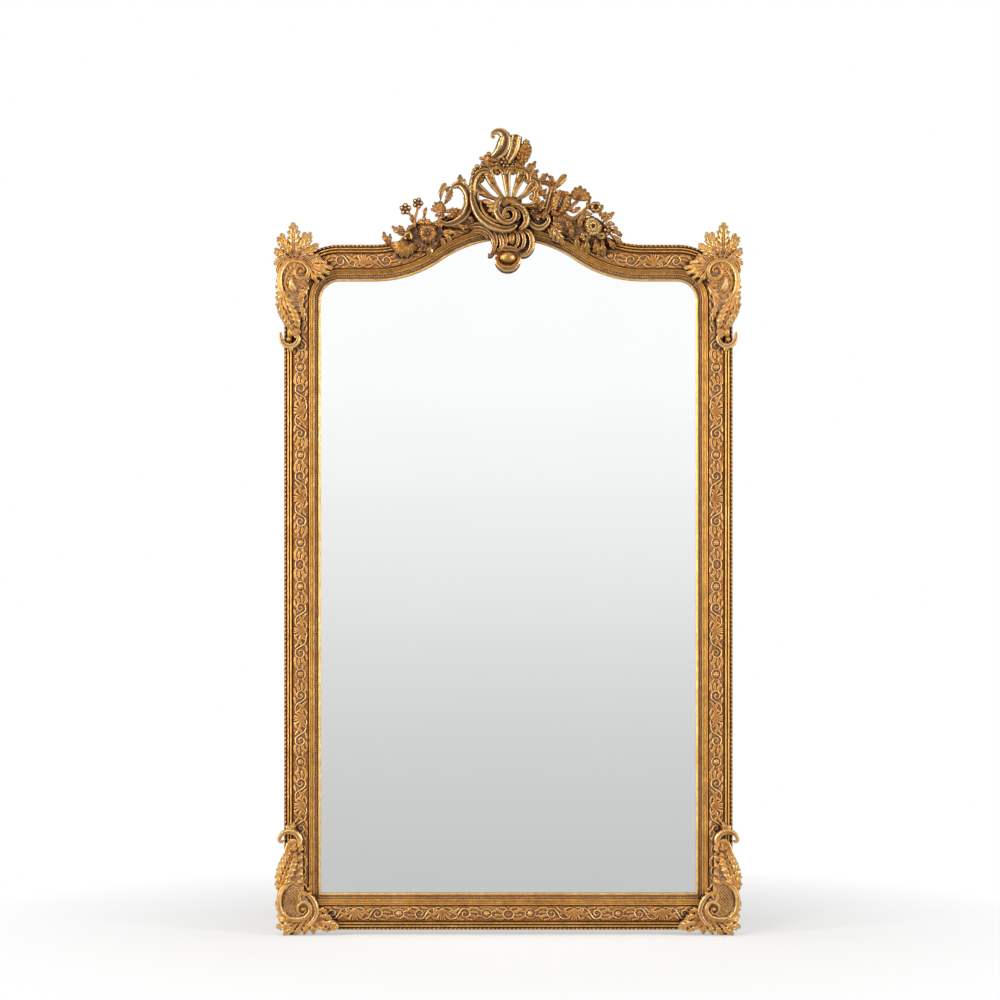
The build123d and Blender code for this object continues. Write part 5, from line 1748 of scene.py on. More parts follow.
    def left_spray(self, cut: Carver) -> None:
        """Carves the left spray: daisies on stems, a bell flower, a rosette and a burst of leaves."""
        cut.ground(
            [
                (-243.4, -85.7), (-214.4, -56.6), (-188.9, -45.7), (-156.3, -53.0), (-145.4, -67.5),
                (-152.6, -85.7), (-178.0, -107.5), (-207.1, -109.6), (-239.8, -107.5),
            ],
            2.5, depth=2.2, eye=(-192.6, -78.4),
        )
        cut.scroll(
            [(-208.6, -59.5), (-210.7, -42.1), (-220.2, -28.3), (-227.4, -19.6)], [9, 7, 5, 5], 12,
            hollow=0.0, crown=2.0,
        )
        cut.scroll(
            [(-208.6, -56.6), (-208.6, -38.5), (-204.2, -22.5), (-201.3, -9.4)], [9, 7, 5, 5], 13, hollow=0.0,
            crown=2.0,
        )
        cut.scroll([(-194.4, -49.3), (-188.9, -34.8), (-184.6, -25.7)], [6, 5, 4], 10, hollow=0.0, crown=2.0)
        cut.flower(-229.6, -16.7, 13.8, 5, rise=18, heart=0.3, turn=90)
        cut.flower(-202.0, -3.6, 12.8, 5, rise=19, heart=0.3, turn=70)
        cut.leaf([(-186.8, -36.3, 8), (-186.8, -23.9, 12), (-182.4, -13.0, 8)], 9.5, lobes=2, cut=0.2)
        for points, width in (
            ([(-207.1, -49.3, 8), (-190.4, -44.3, 14), (-170.1, -49.3, 8)], 20),
            ([(-170.8, -47.9, 8), (-160.6, -49.3, 13), (-147.5, -57.3, 8)], 16),
            ([(-212.2, -49.3, 8), (-215.8, -38.5, 12), (-213.6, -29.0, 8)], 11),
            ([(-207.1, -53.0, 8), (-217.3, -56.6, 13), (-226.7, -67.5, 8)], 13),
            ([(-159.9, -45.7, 8), (-151.2, -49.3, 13), (-145.4, -42.1, 8)], 12),
        ):
            cut.leaf(points, width, lobes=4, cut=0.5)
        cut.burst(
            (-179.5, -71.1),
            (
                (-199.1, -53.0), (-182.4, -47.9), (-163.5, -53.0), (-156.3, -71.1), (-163.5, -87.8),
                (-179.5, -94.4), (-195.5, -88.6), (-202.7, -71.1),
            ),
            (9, 16, 9), 18, cut=0.35, arch=0.4, peak=0.62,
        )
        cut.flower(-179.5, -71.9, 11.0, 6, rise=21, heart=0.4)
        cut.burst(
            (-223.4, -78.4),
            (
                (-235.4, -71.1), (-228.9, -65.3), (-218.7, -64.6), (-211.5, -72.6), (-210.7, -83.5),
                (-234.0, -84.9),
            ),
            (9, 15, 9), 11, lobes=1, arch=0.6, peak=0.62,
        )
        cut.flower(-223.4, -78.4, 8.0, 6, rise=18, heart=0.42)
        cut.burst(
            (-222.4, -87.8),
            (
                (-259.4, -106.0), (-252.9, -116.2), (-241.2, -123.4), (-228.2, -124.2), (-215.8, -118.4),
                (-206.4, -108.2), (-263.0, -97.3),
            ),
            (8, 14, 8), 13, lobes=2, cut=0.3, arch=0.5, peak=0.6,
        )
        for points, width in (
            ([(-263.0, -99.5, 7), (-273.9, -84.2, 12), (-278.3, -66.8, 7)], 14),
            ([(-262.3, -98.7, 7), (-264.5, -85.7, 11), (-263.8, -71.1, 7)], 11),
            ([(-231.1, -77.7, 8), (-244.9, -67.5, 13), (-260.1, -54.4, 8)], 15),
            ([(-228.9, -71.1, 8), (-236.9, -61.0, 13), (-244.9, -53.0, 8)], 11),
            ([(-250.7, -96.6, 6), (-257.9, -92.9, 9), (-265.9, -97.3, 6)], 10),
            ([(-149.0, -71.1, 7), (-134.5, -78.4, 12), (-133.7, -95.8, 7)], 15),
            ([(-151.2, -67.5, 7), (-134.5, -67.5, 12), (-118.5, -68.2, 7)], 15),
            ([(-154.1, -78.4, 7), (-145.4, -89.3, 12), (-148.3, -103.8, 7)], 14),
        ):
            cut.leaf(points, width, cut=0.45)
        cut.leaf(
            [(-175.9, -94.4, 10), (-175.9, -107.5, 14), (-176.6, -122.0, 8)], 17, lobes=2, cut=0.15, arch=0.6,
        )
        for x, z, r in (
            (-211.5, -96.6, 4.6), (-205.6, -87.1, 4.0), (-237.6, -90.0, 4.0), (-200.6, -98.7, 3.6),
            (-194.0, -103.8, 3.2),
        ):
            cut.bead(x, z, r, 10)

    def right_scroll(self, cut: Carver) -> None:
        """Carves the small C-scroll at the right of the pendant, with its volute and a folded leaf."""
        cut.ground(
            [
                (50.8, -20.3), (68.9, -9.4), (87.1, -20.3), (90.7, -42.1), (79.8, -56.6), (58.0, -60.2),
                (43.5, -49.3),
            ],
            3.0, dome=2.5, depth=1.8,
        )
        cut.scroll(
            [
                (45.0, -33.4), (48.6, -47.9), (60.2, -57.3), (73.3, -58.1), (84.9, -50.8), (90.0, -39.2),
                (84.2, -31.9), (77.6, -35.5), (79.8, -42.1),
            ],
            [7, 13, 15, 15, 15, 12, 9, 7, 4], [13, 16, 18, 19, 19, 18, 17, 16, 16], tilt=-0.2,
        )
        for points, width in (
            ([(61.7, -20.3, 8), (72.6, -13.0, 14), (77.6, 3.0, 8)], 20),
            ([(50.8, -31.2, 8), (65.3, -34.8, 13), (74.0, -26.1, 8)], 16),
            ([(91.5, -49.3, 8), (105.3, -67.5, 15), (123.4, -95.1, 8)], 26),
            ([(87.1, -56.6, 7), (98.0, -74.8, 12), (108.9, -90.0, 7)], 16),
            ([(58.0, -13.0, 8), (65.3, -2.1, 13), (65.3, 8.8, 8)], 14),
            ([(68.9, -34.8, 8), (79.8, -27.6, 13), (83.5, -15.9, 8)], 14),
            ([(94.4, -45.7, 8), (108.9, -53.0, 13), (119.8, -67.5, 8)], 16),
        ):
            cut.leaf(points, width, lobes=4, cut=0.5)

    def right_spray(self, cut: Carver) -> None:
        """Carves the right spray: a branch with leaves, a tulip, a full-blown flower and small blossoms."""
        cut.ground(
            [
                (98.0, -27.6), (112.5, -5.8), (127.0, -23.9), (148.8, -38.5), (185.2, -34.8), (210.6, -45.7),
                (221.5, -71.1), (206.9, -96.6), (174.3, -100.2), (137.9, -78.4), (105.3, -63.9),
            ],
            2.5, eye=(152.5, -63.9),
        )
        cut.scroll(
            [
                (59.5, 40.0), (76.2, 42.9), (89.3, 40.7), (97.3, 30.6), (94.4, 12.4), (88.5, -9.4),
                (82.0, -29.0),
            ],
            [7, 11, 14, 17, 19, 19, 12], [10, 12, 14, 14, 13, 12, 10], reeds=2, hollow=0.5,
        )
        for points, width in (
            ([(67.5, 40.7, 8), (77.6, 53.8, 15), (88.5, 61.8, 9)], 15),
            ([(87.1, 58.2, 9), (95.8, 50.2, 15), (98.0, 32.7, 9)], 17),
            ([(92.9, 16.0, 8), (100.9, 30.6, 13), (106.0, 44.4, 8)], 14),
            ([(87.1, 30.6, 8), (79.8, 19.7, 13), (81.3, 5.1, 8)], 13),
            ([(94.4, 1.5, 8), (101.6, -13.0, 13), (98.0, -31.2, 8)], 14),
        ):
            cut.leaf(points, width, cut=0.45)
        cut.leaf([(100.9, 23.3, 9), (111.1, 38.5, 15), (128.5, 60.3, 9)], 17, lobes=2, cut=0.15, peak=0.55)
        cut.frond(
            [(123.4, 24.7, 9), (119.8, 8.8, 16), (114.0, -9.4, 17), (104.5, -31.9, 9)], 42, 7, stem=6,
            lean=0.8, cut=0.3,
        )
        for k in range(6):
            cut.bead(129.2 - 3.4 * k, 17.5 - 8.6 * k, 4.4, 17 - k, stretch=1.3, turn=20)
        cut.burst(
            (156.1, 1.5),
            (
                (141.9, 24.0), (148.8, 32.0), (160.5, 35.6), (172.1, 28.4), (180.8, 18.9), (185.2, 9.5),
                (140.1, 15.3),
            ),
            (9, 16, 10), 12, lobes=2, cut=0.2, arch=0.5, peak=0.62,
        )
        cut.scroll(
            [(135.0, -22.5), (141.6, -9.4), (150.3, -2.1), (156.8, 5.1)], [11, 9, 8, 8], 12, hollow=0.2,
            crown=2.5,
        )
        cut.scroll(
            [(134.3, -39.2), (149.6, -36.3), (163.4, -25.4), (176.4, -11.6)], [11, 10, 9, 6], 12, hollow=0.2,
            crown=2.5,
        )
        for points, width in (
            ([(137.9, -23.9, 9), (148.8, -20.3, 14), (160.5, -13.0, 9)], 13),
            ([(137.9, -38.5, 9), (134.3, -49.3, 14), (139.4, -63.9, 9)], 16),
            ([(152.5, -34.8, 9), (159.7, -45.7, 14), (156.1, -60.2, 9)], 14),
            ([(185.2, -20.3, 9), (177.9, -9.4, 14), (181.5, 3.0, 9)], 12),
            ([(198.2, -20.3, 9), (206.2, -15.2, 14), (210.6, -7.2, 9)], 11),
            ([(188.8, -27.6, 9), (177.9, -27.6, 14), (168.4, -20.3, 9)], 12),
            ([(207.7, -49.3, 9), (220.7, -36.3, 15), (236.0, -23.9, 9)], 15),
            ([(206.9, -42.1, 9), (211.3, -31.2, 14), (219.3, -23.9, 9)], 11),
            ([(203.3, -34.8, 9), (204.8, -23.9, 14), (200.4, -13.0, 9)], 11),
            ([(210.6, -56.6, 9), (225.1, -49.3, 14), (237.5, -51.5, 9)], 12),
            ([(163.4, -49.3, 9), (167.0, -34.8, 14), (174.3, -27.6, 9)], 13),
        ):
            cut.leaf(points, width, cut=0.35)
        star = (194.6, -13.0)
        petals = [(star[0] + 13.5 * np.cos(1.05 * k), star[1] + 13.5 * np.sin(1.05 * k)) for k in range(6)]
        cut.burst(star, petals, (9, 18, 10), 11, part=0.6, lobes=1, arch=0.6, peak=0.62)
        cut.flower(*star, 6.0, 6, rise=21, heart=0.42)
        self._bloom(cut, (188.8, -55.9), 22.5, 11, 22.0)
        self._bloom(cut, (171.4, -79.1), 14.0, 8, 17.0)
        self._bloom(cut, (207.7, -77.0), 12.0, 8, 17.0)
        cut.flower(223.7, -64.6, 12.0, 5, rise=17, heart=0.45, turn=30)
        cut.bead(238.2, -61.0, 6.2, 15)
        for root, mid, tip, width in (
            ((177.9, -71.1), (174.3, -92.9), (178.6, -116.9), 16),
            ((192.4, -78.4), (194.6, -96.6), (191.0, -113.3), 14),
            ((206.9, -78.4), (210.6, -98.7), (212.8, -120.5), 15),
            ((217.8, -78.4), (227.3, -91.5), (237.5, -104.6), 15),
            ((225.1, -74.8), (239.6, -82.0), (252.7, -95.1), 15),
            ((228.7, -67.5), (241.8, -69.0), (253.4, -77.0), 12),
            ((159.7, -71.1), (152.5, -85.7), (156.8, -105.3), 16),
            ((148.8, -49.3), (140.8, -63.9), (143.0, -79.9), 15),
            ((167.0, -85.7), (165.5, -100.2), (168.4, -111.8), 13),
            ((199.7, -85.7), (201.9, -103.8), (201.9, -117.6), 12),
        ):
            cut.leaf([(*root, 8), (*mid, 15), (*tip, 8)], width, cut=0.4, arch=0.45, peak=0.6)

    def _bloom(
        self, cut: Carver, centre: tuple[float, float], radius: float, petals: int, rise: float,
    ) -> None:
        """Carves a full-blown flower: three rings of pointed petals that lie over each other, and a heart.

        Args:
            cut: The carver.
            centre: Local x and z.
            radius: Radius of the outer ring.
            petals: Petals in each ring.
            rise: Height of the heart over the base.
        """
        for ring, reach, lift in ((0, 1.0, -8.0), (1, 0.74, -3.5), (2, 0.48, 0.0)):
            for k, angle in enumerate(np.linspace(0, 2 * np.pi, petals, endpoint=False) + 0.35 * ring):
                way = np.array([np.cos(angle), np.sin(angle)]) * (1.0 + 0.12 * np.sin(5.0 * k + 2.0 * ring))
                near, mid, tip = (
                    tuple(np.array(centre) + way * radius * part * reach) for part in (0.1, 0.62, 1.0)
                )
                cut.leaf(
                    [(*near, rise + lift - 4), (*mid, rise + lift), (*tip, rise + lift - 5)],
                    0.5 * radius * reach + 2, lobes=1, arch=0.6, peak=0.6, rows=12,
                )
        cut.flower(*centre, 0.26 * radius, 5, rise=rise + 2, heart=0.45)


# ------------------------------------------------------------------ finishes


@dataclass
class Desk:
    """The node tree of a material or of the surround, with short ways to add its nodes.

    Args:
        owner: The material or the world that the tree belongs to.
    """

    owner: bpy.types.Material | bpy.types.World
    place: bpy.types.NodeSocket = field(init=False)

    def __post_init__(self) -> None:
        """Empties the tree and adds the Object coordinates."""
        self.owner.use_nodes = True
        self.owner.node_tree.nodes.clear()
        self.place = self.add("ShaderNodeTexCoord").outputs["Object"]

    def add(self, kind: str, **settings: object) -> bpy.types.Node:
        """Returns a new node with its settings made."""
        node = self.owner.node_tree.nodes.new(kind)
        for key, value in settings.items():
            setattr(node, key, value)
        return node

    def link(self, source: bpy.types.NodeSocket, target: bpy.types.NodeSocket) -> None:
        """Links an output to an input."""
        self.owner.node_tree.links.new(source, target)

    def noise(
        self, scale: float, detail: float = 3.0, rough: float = 0.55,
        stretch: tuple[float, float, float] = (1, 1, 1),
    ) -> bpy.types.NodeSocket:
        """Adds a noise on Object coordinates.

        Args:
            scale: Features a metre, roughly.
            detail: Octaves.
            rough: Strength of the finer octaves.
            stretch: Scale on each axis.

        Returns:
            The noise's value.
        """
        mapping = self.add("ShaderNodeMapping")
        mapping.inputs["Scale"].default_value = stretch
        self.link(self.place, mapping.inputs["Vector"])
        noise = self.add("ShaderNodeTexNoise")
        noise.inputs["Scale"].default_value = scale
        noise.inputs["Detail"].default_value = detail
        noise.inputs["Roughness"].default_value = rough
        self.link(mapping.outputs["Vector"], noise.inputs["Vector"])
        return noise.outputs["Fac"]

    def attribute(self, name: str) -> bpy.types.NodeSocket:
        """Returns the value of a point attribute."""
        return self.add("ShaderNodeAttribute", attribute_name=name).outputs["Fac"]

    def math(
        self, operation: str, *values: bpy.types.NodeSocket | float, clamp: bool = False,
    ) -> bpy.types.NodeSocket:
        """Returns an arithmetic node's result."""
        node = self.add("ShaderNodeMath", operation=operation, use_clamp=clamp)
        for socket, value in zip(node.inputs, values):
            if isinstance(value, (int, float)):
                socket.default_value = value
            else:
                self.link(value, socket)
        return node.outputs[0]

    def sum(
        self, start: float, *terms: tuple[bpy.types.NodeSocket, float], clamp: bool = True,
    ) -> bpy.types.NodeSocket:
        """Adds a start value and terms, each a socket times a weight.

        Args:
            start: The start value.
            terms: Sockets with their weights.
            clamp: Whether the result is kept from 0 to 1.

        Returns:
            The sum.
        """
        total: bpy.types.NodeSocket | float = start
        for index, (socket, weight) in enumerate(terms):
            total = self.math("MULTIPLY_ADD", socket, weight, total, clamp=clamp and index == len(terms) - 1)
        return total

    def ramp(
        self, value: bpy.types.NodeSocket, stops: Sequence[tuple[float, Sequence[float]]],
    ) -> bpy.types.NodeSocket:
        """Returns the colour of a ramp at a value."""
        node = self.add("ShaderNodeValToRGB")
        elements = node.color_ramp.elements
        while len(elements) < len(stops):
            elements.new(0.5)
        for element, (position, colour) in zip(elements, stops):
            element.position = position
            element.color = (*colour, 1.0)
        self.link(value, node.inputs["Fac"])
        return node.outputs["Color"]

    def blend(
        self, factor: bpy.types.NodeSocket, first: bpy.types.NodeSocket,
        second: Sequence[float] | bpy.types.NodeSocket,
    ) -> bpy.types.NodeSocket:
        """Returns a colour mixed from two by a factor."""
        node = self.add("ShaderNodeMix", data_type="RGBA")
        self.link(factor, node.inputs["Factor"])
        self.link(first, node.inputs["A"])
        if isinstance(second, bpy.types.NodeSocket):
            self.link(second, node.inputs["B"])
        else:
            node.inputs["B"].default_value = (*second, 1.0)
        return node.outputs["Result"]

    def finish(
        self,
        colour: bpy.types.NodeSocket,
        roughness: bpy.types.NodeSocket | float,
        metallic: bpy.types.NodeSocket | float = 0.0,
        bump: tuple[bpy.types.NodeSocket, float] | None = None,
        **constants: float,
    ) -> bpy.types.Material:
        """Ends the tree with a Principled shader.

        Args:
            colour: Base colour.
            roughness: Roughness.
            metallic: Metallic.
            bump: A height and its depth in metres.
            constants: Other sockets of the shader, with spaces as underscores.

        Returns:
            The material.
        """
        shader = self.add("ShaderNodeBsdfPrincipled")
        self.link(colour, shader.inputs["Base Color"])
        for label, value in (("Roughness", roughness), ("Metallic", metallic)):
            if isinstance(value, (int, float)):
                shader.inputs[label].default_value = value
            else:
                self.link(value, shader.inputs[label])
        for label, value in constants.items():
            shader.inputs[label.replace("_", " ")].default_value = value
        if bump is not None:
            node = self.add("ShaderNodeBump")
            node.inputs["Distance"].default_value = bump[1]
            self.link(bump[0], node.inputs["Height"])
            self.link(node.outputs["Normal"], shader.inputs["Normal"])
        output = self.add("ShaderNodeOutputMaterial")
        self.link(shader.outputs["BSDF"], output.inputs["Surface"])
        return self.owner


@dataclass(frozen=True)
class AntiqueGilt:
    """Gold leaf over red bole, worn in patches, with painted highlights on high points, painted shade in
    recesses and a pale wash.

    The tone of a point is a start value plus its detail, which paints highlights on ridges and shade in
    hollows, less its recess, which paints shade, plus patches of noise for the worn gilt, and a ramp
    turns it into umber, bole, ochre gold and bright gold.

    Args:
        name: The material's name.
        start: Tone of a flat surface.
        relief: Weight of the detail: the painted highlight on ridges and painted shade in hollows.
        depth: Weight of the recess: the painted shade in recesses.
        wash: How much pale wash lies in the half-recessed places.
        warmth: How far the gold leans to red.
        rough: Roughness of the rubbed gold.
        haze: How much of the wash lies as a film on the flats.
        shade: Share of the full brightness; below 1 it makes a darker copy of the gilt, painted shade.
    """

    name: str
    start: float = 0.50
    relief: float = 0.45
    depth: float = 0.60
    wash: float = 0.55
    warmth: float = 0.0
    rough: float = 0.30
    haze: float = 0.0
    shade: float = 1.0

    def make(self) -> bpy.types.Material:
        """Returns the material."""
        desk = Desk(bpy.data.materials.new(self.name))
        detail, recess = desk.attribute("detail"), desk.attribute("recess")
        cloud, patch, speck = desk.noise(22.0, 3.0), desk.noise(120.0, 4.0, 0.6), desk.noise(620.0, 2.0, 0.6)
        # Painted light: the detail brightens ridges as painted highlight and darkens hollows, and the recess
        # darkens recesses as painted shade; the three noises are the gilt's own wear.
        tone = desk.sum(
            self.start - 0.5 * (0.34 + 0.55 + 0.30), (
                detail, self.relief,
            ), (recess, -self.depth), (cloud, 0.34), (patch, 0.55), (speck, 0.30)
        )
        # s below 1 darkens every colour of the gilt as painted shade.
        w, s = self.warmth, self.shade
        leaf = (
            (0.02, (0.026, 0.008, 0.003)),
            (0.20, (0.130, 0.038, 0.012)),
            (0.38, (0.350 + 0.04 * w, 0.145 - 0.02 * w, 0.034)),
            (0.56, (0.600 + 0.02 * w, 0.305 - 0.05 * w, 0.062)),
            (0.76, (0.810, 0.470 - 0.05 * w, 0.125)),
            (0.97, (0.980, 0.735, 0.350)),
        )
        gold = desk.ramp(tone, [(stop, tuple(s * c for c in colour)) for stop, colour in leaf])
        pale = desk.noise(74.0, 4.0, 0.65)
        half_deep = desk.math("ABSOLUTE", desk.sum(-1.0, (recess, 2.2), clamp=False))
        band = desk.math("MULTIPLY", desk.math("SUBTRACT", 1.0, half_deep, clamp=True), self.wash)
        veil = desk.math("MULTIPLY", band, desk.sum(-1.6, (pale, 5.0)), clamp=True)
        film = desk.math(
            "MULTIPLY", desk.sum(-1.05, (pale, 3.4), (detail, -0.9), (recess, -0.7)), self.haze, clamp=True,
        )
        veil = desk.math("MAXIMUM", veil, film)
        colour = desk.blend(veil, gold, (0.50 * s, 0.350 * s, 0.245 * s))
        metal = desk.sum(0.30, (tone, 1.2), (veil, -0.9))
        roughness = desk.sum(self.rough + 0.30, (tone, -0.34), (patch, 0.16), (veil, 0.3))
        grain = desk.sum(0.0, (speck, 0.6), (desk.noise(1500.0, 2.0), 0.4), clamp=False)
        return desk.finish(colour, roughness, metal, (grain, 0.00035))


@dataclass(frozen=True)
class Pine:
    """Sawn pine: bands of early and late wood along an axis, fine fibres, and a darker stain at the front.

    Args:
        name: The material's name.
        upright: Whether the grain runs up instead of across.
        stained_from: y, in metres, in front of which the wood is stained, and the stain's blend width.
    """

    name: str
    upright: bool
    stained_from: float = 0.028

    def make(self) -> bpy.types.Material:
        """Returns the material."""
        desk = Desk(bpy.data.materials.new(self.name))
        stretch = (1.0, 1.0, 0.045) if self.upright else (0.045, 1.0, 1.0)
        rings, fibre, tone = desk.noise(70.0, 2.0, 0.5, stretch), desk.noise(
            900.0, 3.0, 0.6, stretch,
        ), desk.noise(6.0, 2.0)
        band = desk.math("ABSOLUTE", desk.math("SINE", desk.math("MULTIPLY", rings, 34.0)))
        value = desk.sum(-0.05, (band, 0.55), (fibre, 0.35), (tone, 0.25))
        wood = desk.ramp(
            value,
            [(0.05, (0.420, 0.245, 0.115)), (0.45, (0.640, 0.430, 0.235)), (0.9, (0.760, 0.570, 0.355))],
        )
        split = desk.add("ShaderNodeSeparateXYZ")
        desk.link(desk.place, split.inputs[0])
        front = desk.sum(
            0.5, (desk.math("SUBTRACT", self.stained_from, split.outputs["Y"]), 700.0), (fibre, 0.4),
        )
        stain = desk.ramp(value, [(0.1, (0.075, 0.030, 0.010)), (0.9, (0.200, 0.090, 0.028))])
        gloss, grain = desk.sum(0.42, (value, 0.3)), desk.sum(0.0, (band, 0.4), (fibre, 0.6), clamp=False)
        return desk.finish(desk.blend(front, wood, stain), gloss, 0.0, (grain, 0.0005))


@dataclass(frozen=True)
class Metal:
    """Plated steel: a pale yellow-grey passivate with cloudy colour, fine scratches and dull spots.

    Args:
        name: The material's name.
        dark: Colour of the dull places.
        pale: Colour of the bright places.
    """

    name: str
    dark: tuple[float, float, float] = (0.30, 0.27, 0.21)
    pale: tuple[float, float, float] = (0.62, 0.58, 0.48)

    def make(self) -> bpy.types.Material:
        """Returns the material."""
        desk = Desk(bpy.data.materials.new(self.name))
        cloud, scratch, spot = desk.noise(90.0, 4.0), desk.noise(
            700.0, 2.0, 0.5, (1.0, 1.0, 0.06),
        ), desk.noise(420.0, 4.0, 0.7)
        value = desk.sum(-0.2, (cloud, 0.8), (scratch, 0.3), (spot, 0.3))
        colour = desk.ramp(value, [(0.1, self.dark), (0.8, self.pale)])
        return desk.finish(colour, desk.sum(0.22, (spot, 0.25), (cloud, 0.15)), 1.0, (scratch, 0.00008))


@dataclass(frozen=True)
class Rubber:
    """Moulded rubber: near-black with a dusty bloom and a fine texture.

    Args:
        name: The material's name.
    """

    name: str

    def make(self) -> bpy.types.Material:
        """Returns the material."""
        desk = Desk(bpy.data.materials.new(self.name))
        bloom, pore = desk.noise(160.0, 4.0, 0.65), desk.noise(2200.0, 2.0)
        colour = desk.ramp(
            desk.sum(-0.2, (bloom, 1.3)), [(0.2, (0.018, 0.017, 0.016)), (0.9, (0.070, 0.066, 0.060))],
        )
        return desk.finish(colour, desk.sum(0.62, (bloom, 0.25)), 0.0, (pore, 0.0002))


@dataclass(frozen=True)
class Board:
    """Pressed fibre board: mottled brown fibres on a fine woven pattern from the press's screen.

    Args:
        name: The material's name.
        dark: Colour of the dark fibres.
        pale: Colour of the pale fibres.
        mesh: Lines of the screen a metre.
    """

    name: str
    dark: tuple[float, float, float] = (0.150, 0.085, 0.045)
    pale: tuple[float, float, float] = (0.340, 0.215, 0.125)
    mesh: float = 520.0

    def make(self) -> bpy.types.Material:
        """Returns the material."""
        desk = Desk(bpy.data.materials.new(self.name))
        mottle, fibre, dust = desk.noise(40.0, 4.0), desk.noise(650.0, 3.0, 0.7), desk.noise(5.0, 3.0)
        split = desk.add("ShaderNodeSeparateXYZ")
        desk.link(desk.place, split.inputs[0])
        wave = [
            desk.math("SINE", desk.math("MULTIPLY", split.outputs[axis], 2 * np.pi * self.mesh))
            for axis in ("X", "Z")
        ]
        screen = desk.math("MULTIPLY", *wave)
        colour = desk.ramp(
            desk.sum(-0.15, (mottle, 0.5), (fibre, 0.5), (dust, 0.3)), [(0.1, self.dark), (0.9, self.pale)],
        )
        weave = desk.sum(0.0, (screen, 0.25), (fibre, 0.6), clamp=False)
        return desk.finish(colour, desk.sum(0.6, (fibre, 0.3)), 0.0, (weave, 0.0004))


@dataclass(frozen=True)
class SilveredGlass:
    """Silvered float glass: a clear mirror with a faint cool tint, barely uneven in gloss.

    Args:
        name: The material's name.
    """

    name: str

    def make(self) -> bpy.types.Material:
        """Returns the material."""
        desk = Desk(bpy.data.materials.new(self.name))
        drift = desk.noise(3.0, 2.0)
        colour = desk.ramp(drift, [(0.3, (0.955, 0.968, 0.966)), (0.7, (0.966, 0.976, 0.975))])
        return desk.finish(colour, desk.math("MULTIPLY", desk.noise(45.0, 2.0), 0.006), 1.0)


# ------------------------------------------------------------------ the whole mirror and its stage


@dataclass
class FloorMirror:
    """The mirror: builds every carved piece, then dresses them and the fittings.

    Args:
        layout: The places of the frame.
        nodes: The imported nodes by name.
    """

    layout: Layout
    nodes: dict[str, bpy.types.Object]
    relief: Relief = field(default_factory=Relief)

    def build(self) -> None:
        """Builds and dresses the whole object."""
        wood = AntiqueGilt(
            "gilt_moulding", start=0.47, relief=0.36, depth=0.55, wash=0.22, rough=0.28, haze=0.03,
        ).make()
        slip = AntiqueGilt(
            "gilt_pearl_slip", start=0.47, relief=0.50, depth=0.55, wash=0.60, rough=0.32, haze=0.42,
        ).make()
        frieze = AntiqueGilt(
            "gilt_frieze", start=0.42, relief=0.50, depth=0.42, wash=0.32, warmth=0.5, rough=0.34, haze=0.14,
        ).make()
        # The twisted edge starts far darker (start=0.20): painted shade, for the shade that the edge lies in.
        edge = AntiqueGilt(
            "gilt_twisted_edge", start=0.20, relief=0.75, depth=0.30, wash=0.22, warmth=0.4, rough=0.36,
            haze=0.12,
        ).make()
        carved = AntiqueGilt(
            "gilt_corners", start=0.46, relief=0.62, depth=0.62, wash=0.72, warmth=0.2, rough=0.30, haze=0.34,
        ).make()
        # The crest's gilt is a darker copy (shade=0.68): painted shade over the whole crest.
        crest = AntiqueGilt(
            "gilt_crest", start=0.40, relief=0.72, depth=0.66, wash=0.42, warmth=0.7, rough=0.24, haze=0.12,
            shade=0.68,
        ).make()
        work: list[tuple[Casting, bpy.types.Material, str, str]] = []
        pattern = Rinceau()
        for side in Side:
            rail = Rail(self.layout, side, self.relief)
            name = side.value
            work += [
                (rail.moulding(), wood, "gilt_wood", f"{name}_moulding"),
                (rail.slip(), slip, "gilt_wood", f"{name}_sight_slip"),
                (rail.frieze(pattern), frieze, "gilt_wood", f"{name}_frieze"),
                (rail.edge(), edge, "gilt_wood", f"{name}_rope_edge"),
            ]
        for top in (True, False):
            for turn in Turn:
                corner = Corner(self.layout, top, turn)
                work.append((corner.build(self.relief), carved, "gilt_casting", corner.name()))
        for casting in Crest(self.layout).build(self.relief):
            work.append((casting, crest, "gilt_casting", casting.name.removesuffix("_carving")))
        for casting, material, slot, node in work:
            casting.write(self.relief, material, slot, [node])
        self.dress()

    def dress(self) -> None:
        """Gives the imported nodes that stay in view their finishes."""
        upright, level = Pine("pine_stiles", True).make(), Pine("pine_rails", False).make()
        steel, rubber = Metal("passivated_steel").make(), Rubber("moulded_rubber").make()
        nickel = Metal("nickelled_wire", (0.42, 0.41, 0.39), (0.74, 0.73, 0.70)).make()
        board = Board("hardboard_back").make()
        foam = Board("foam_sheet_white", (0.62, 0.62, 0.60), (0.82, 0.82, 0.80), 900.0).make()
        glass = SilveredGlass("silvered_float_glass").make()
        finishes = {
            "left_carcass_stile": upright,
            "right_carcass_stile": upright,
            "top_carcass_rail": level,
            "bottom_carcass_rail": level,
            "crest_block": level,
            "mirror_glass": glass,
            "back_board": board,
            "foam_sheet": foam,
        }
        slots = {"steel": steel, "rubber": rubber}
        for name, node in sorted(self.nodes.items()):
            if node.hide_render:
                continue
            finish = finishes.get(name)
            if finish is None:
                slot = node.data.materials[0].name.split(".")[0]
                finish = nickel if name.endswith("_ring") else slots[slot]
            for index in range(len(node.data.materials)):
                node.material_slots[index].material = finish
            LOG.info("%s: finished in %s", name, finish.name)


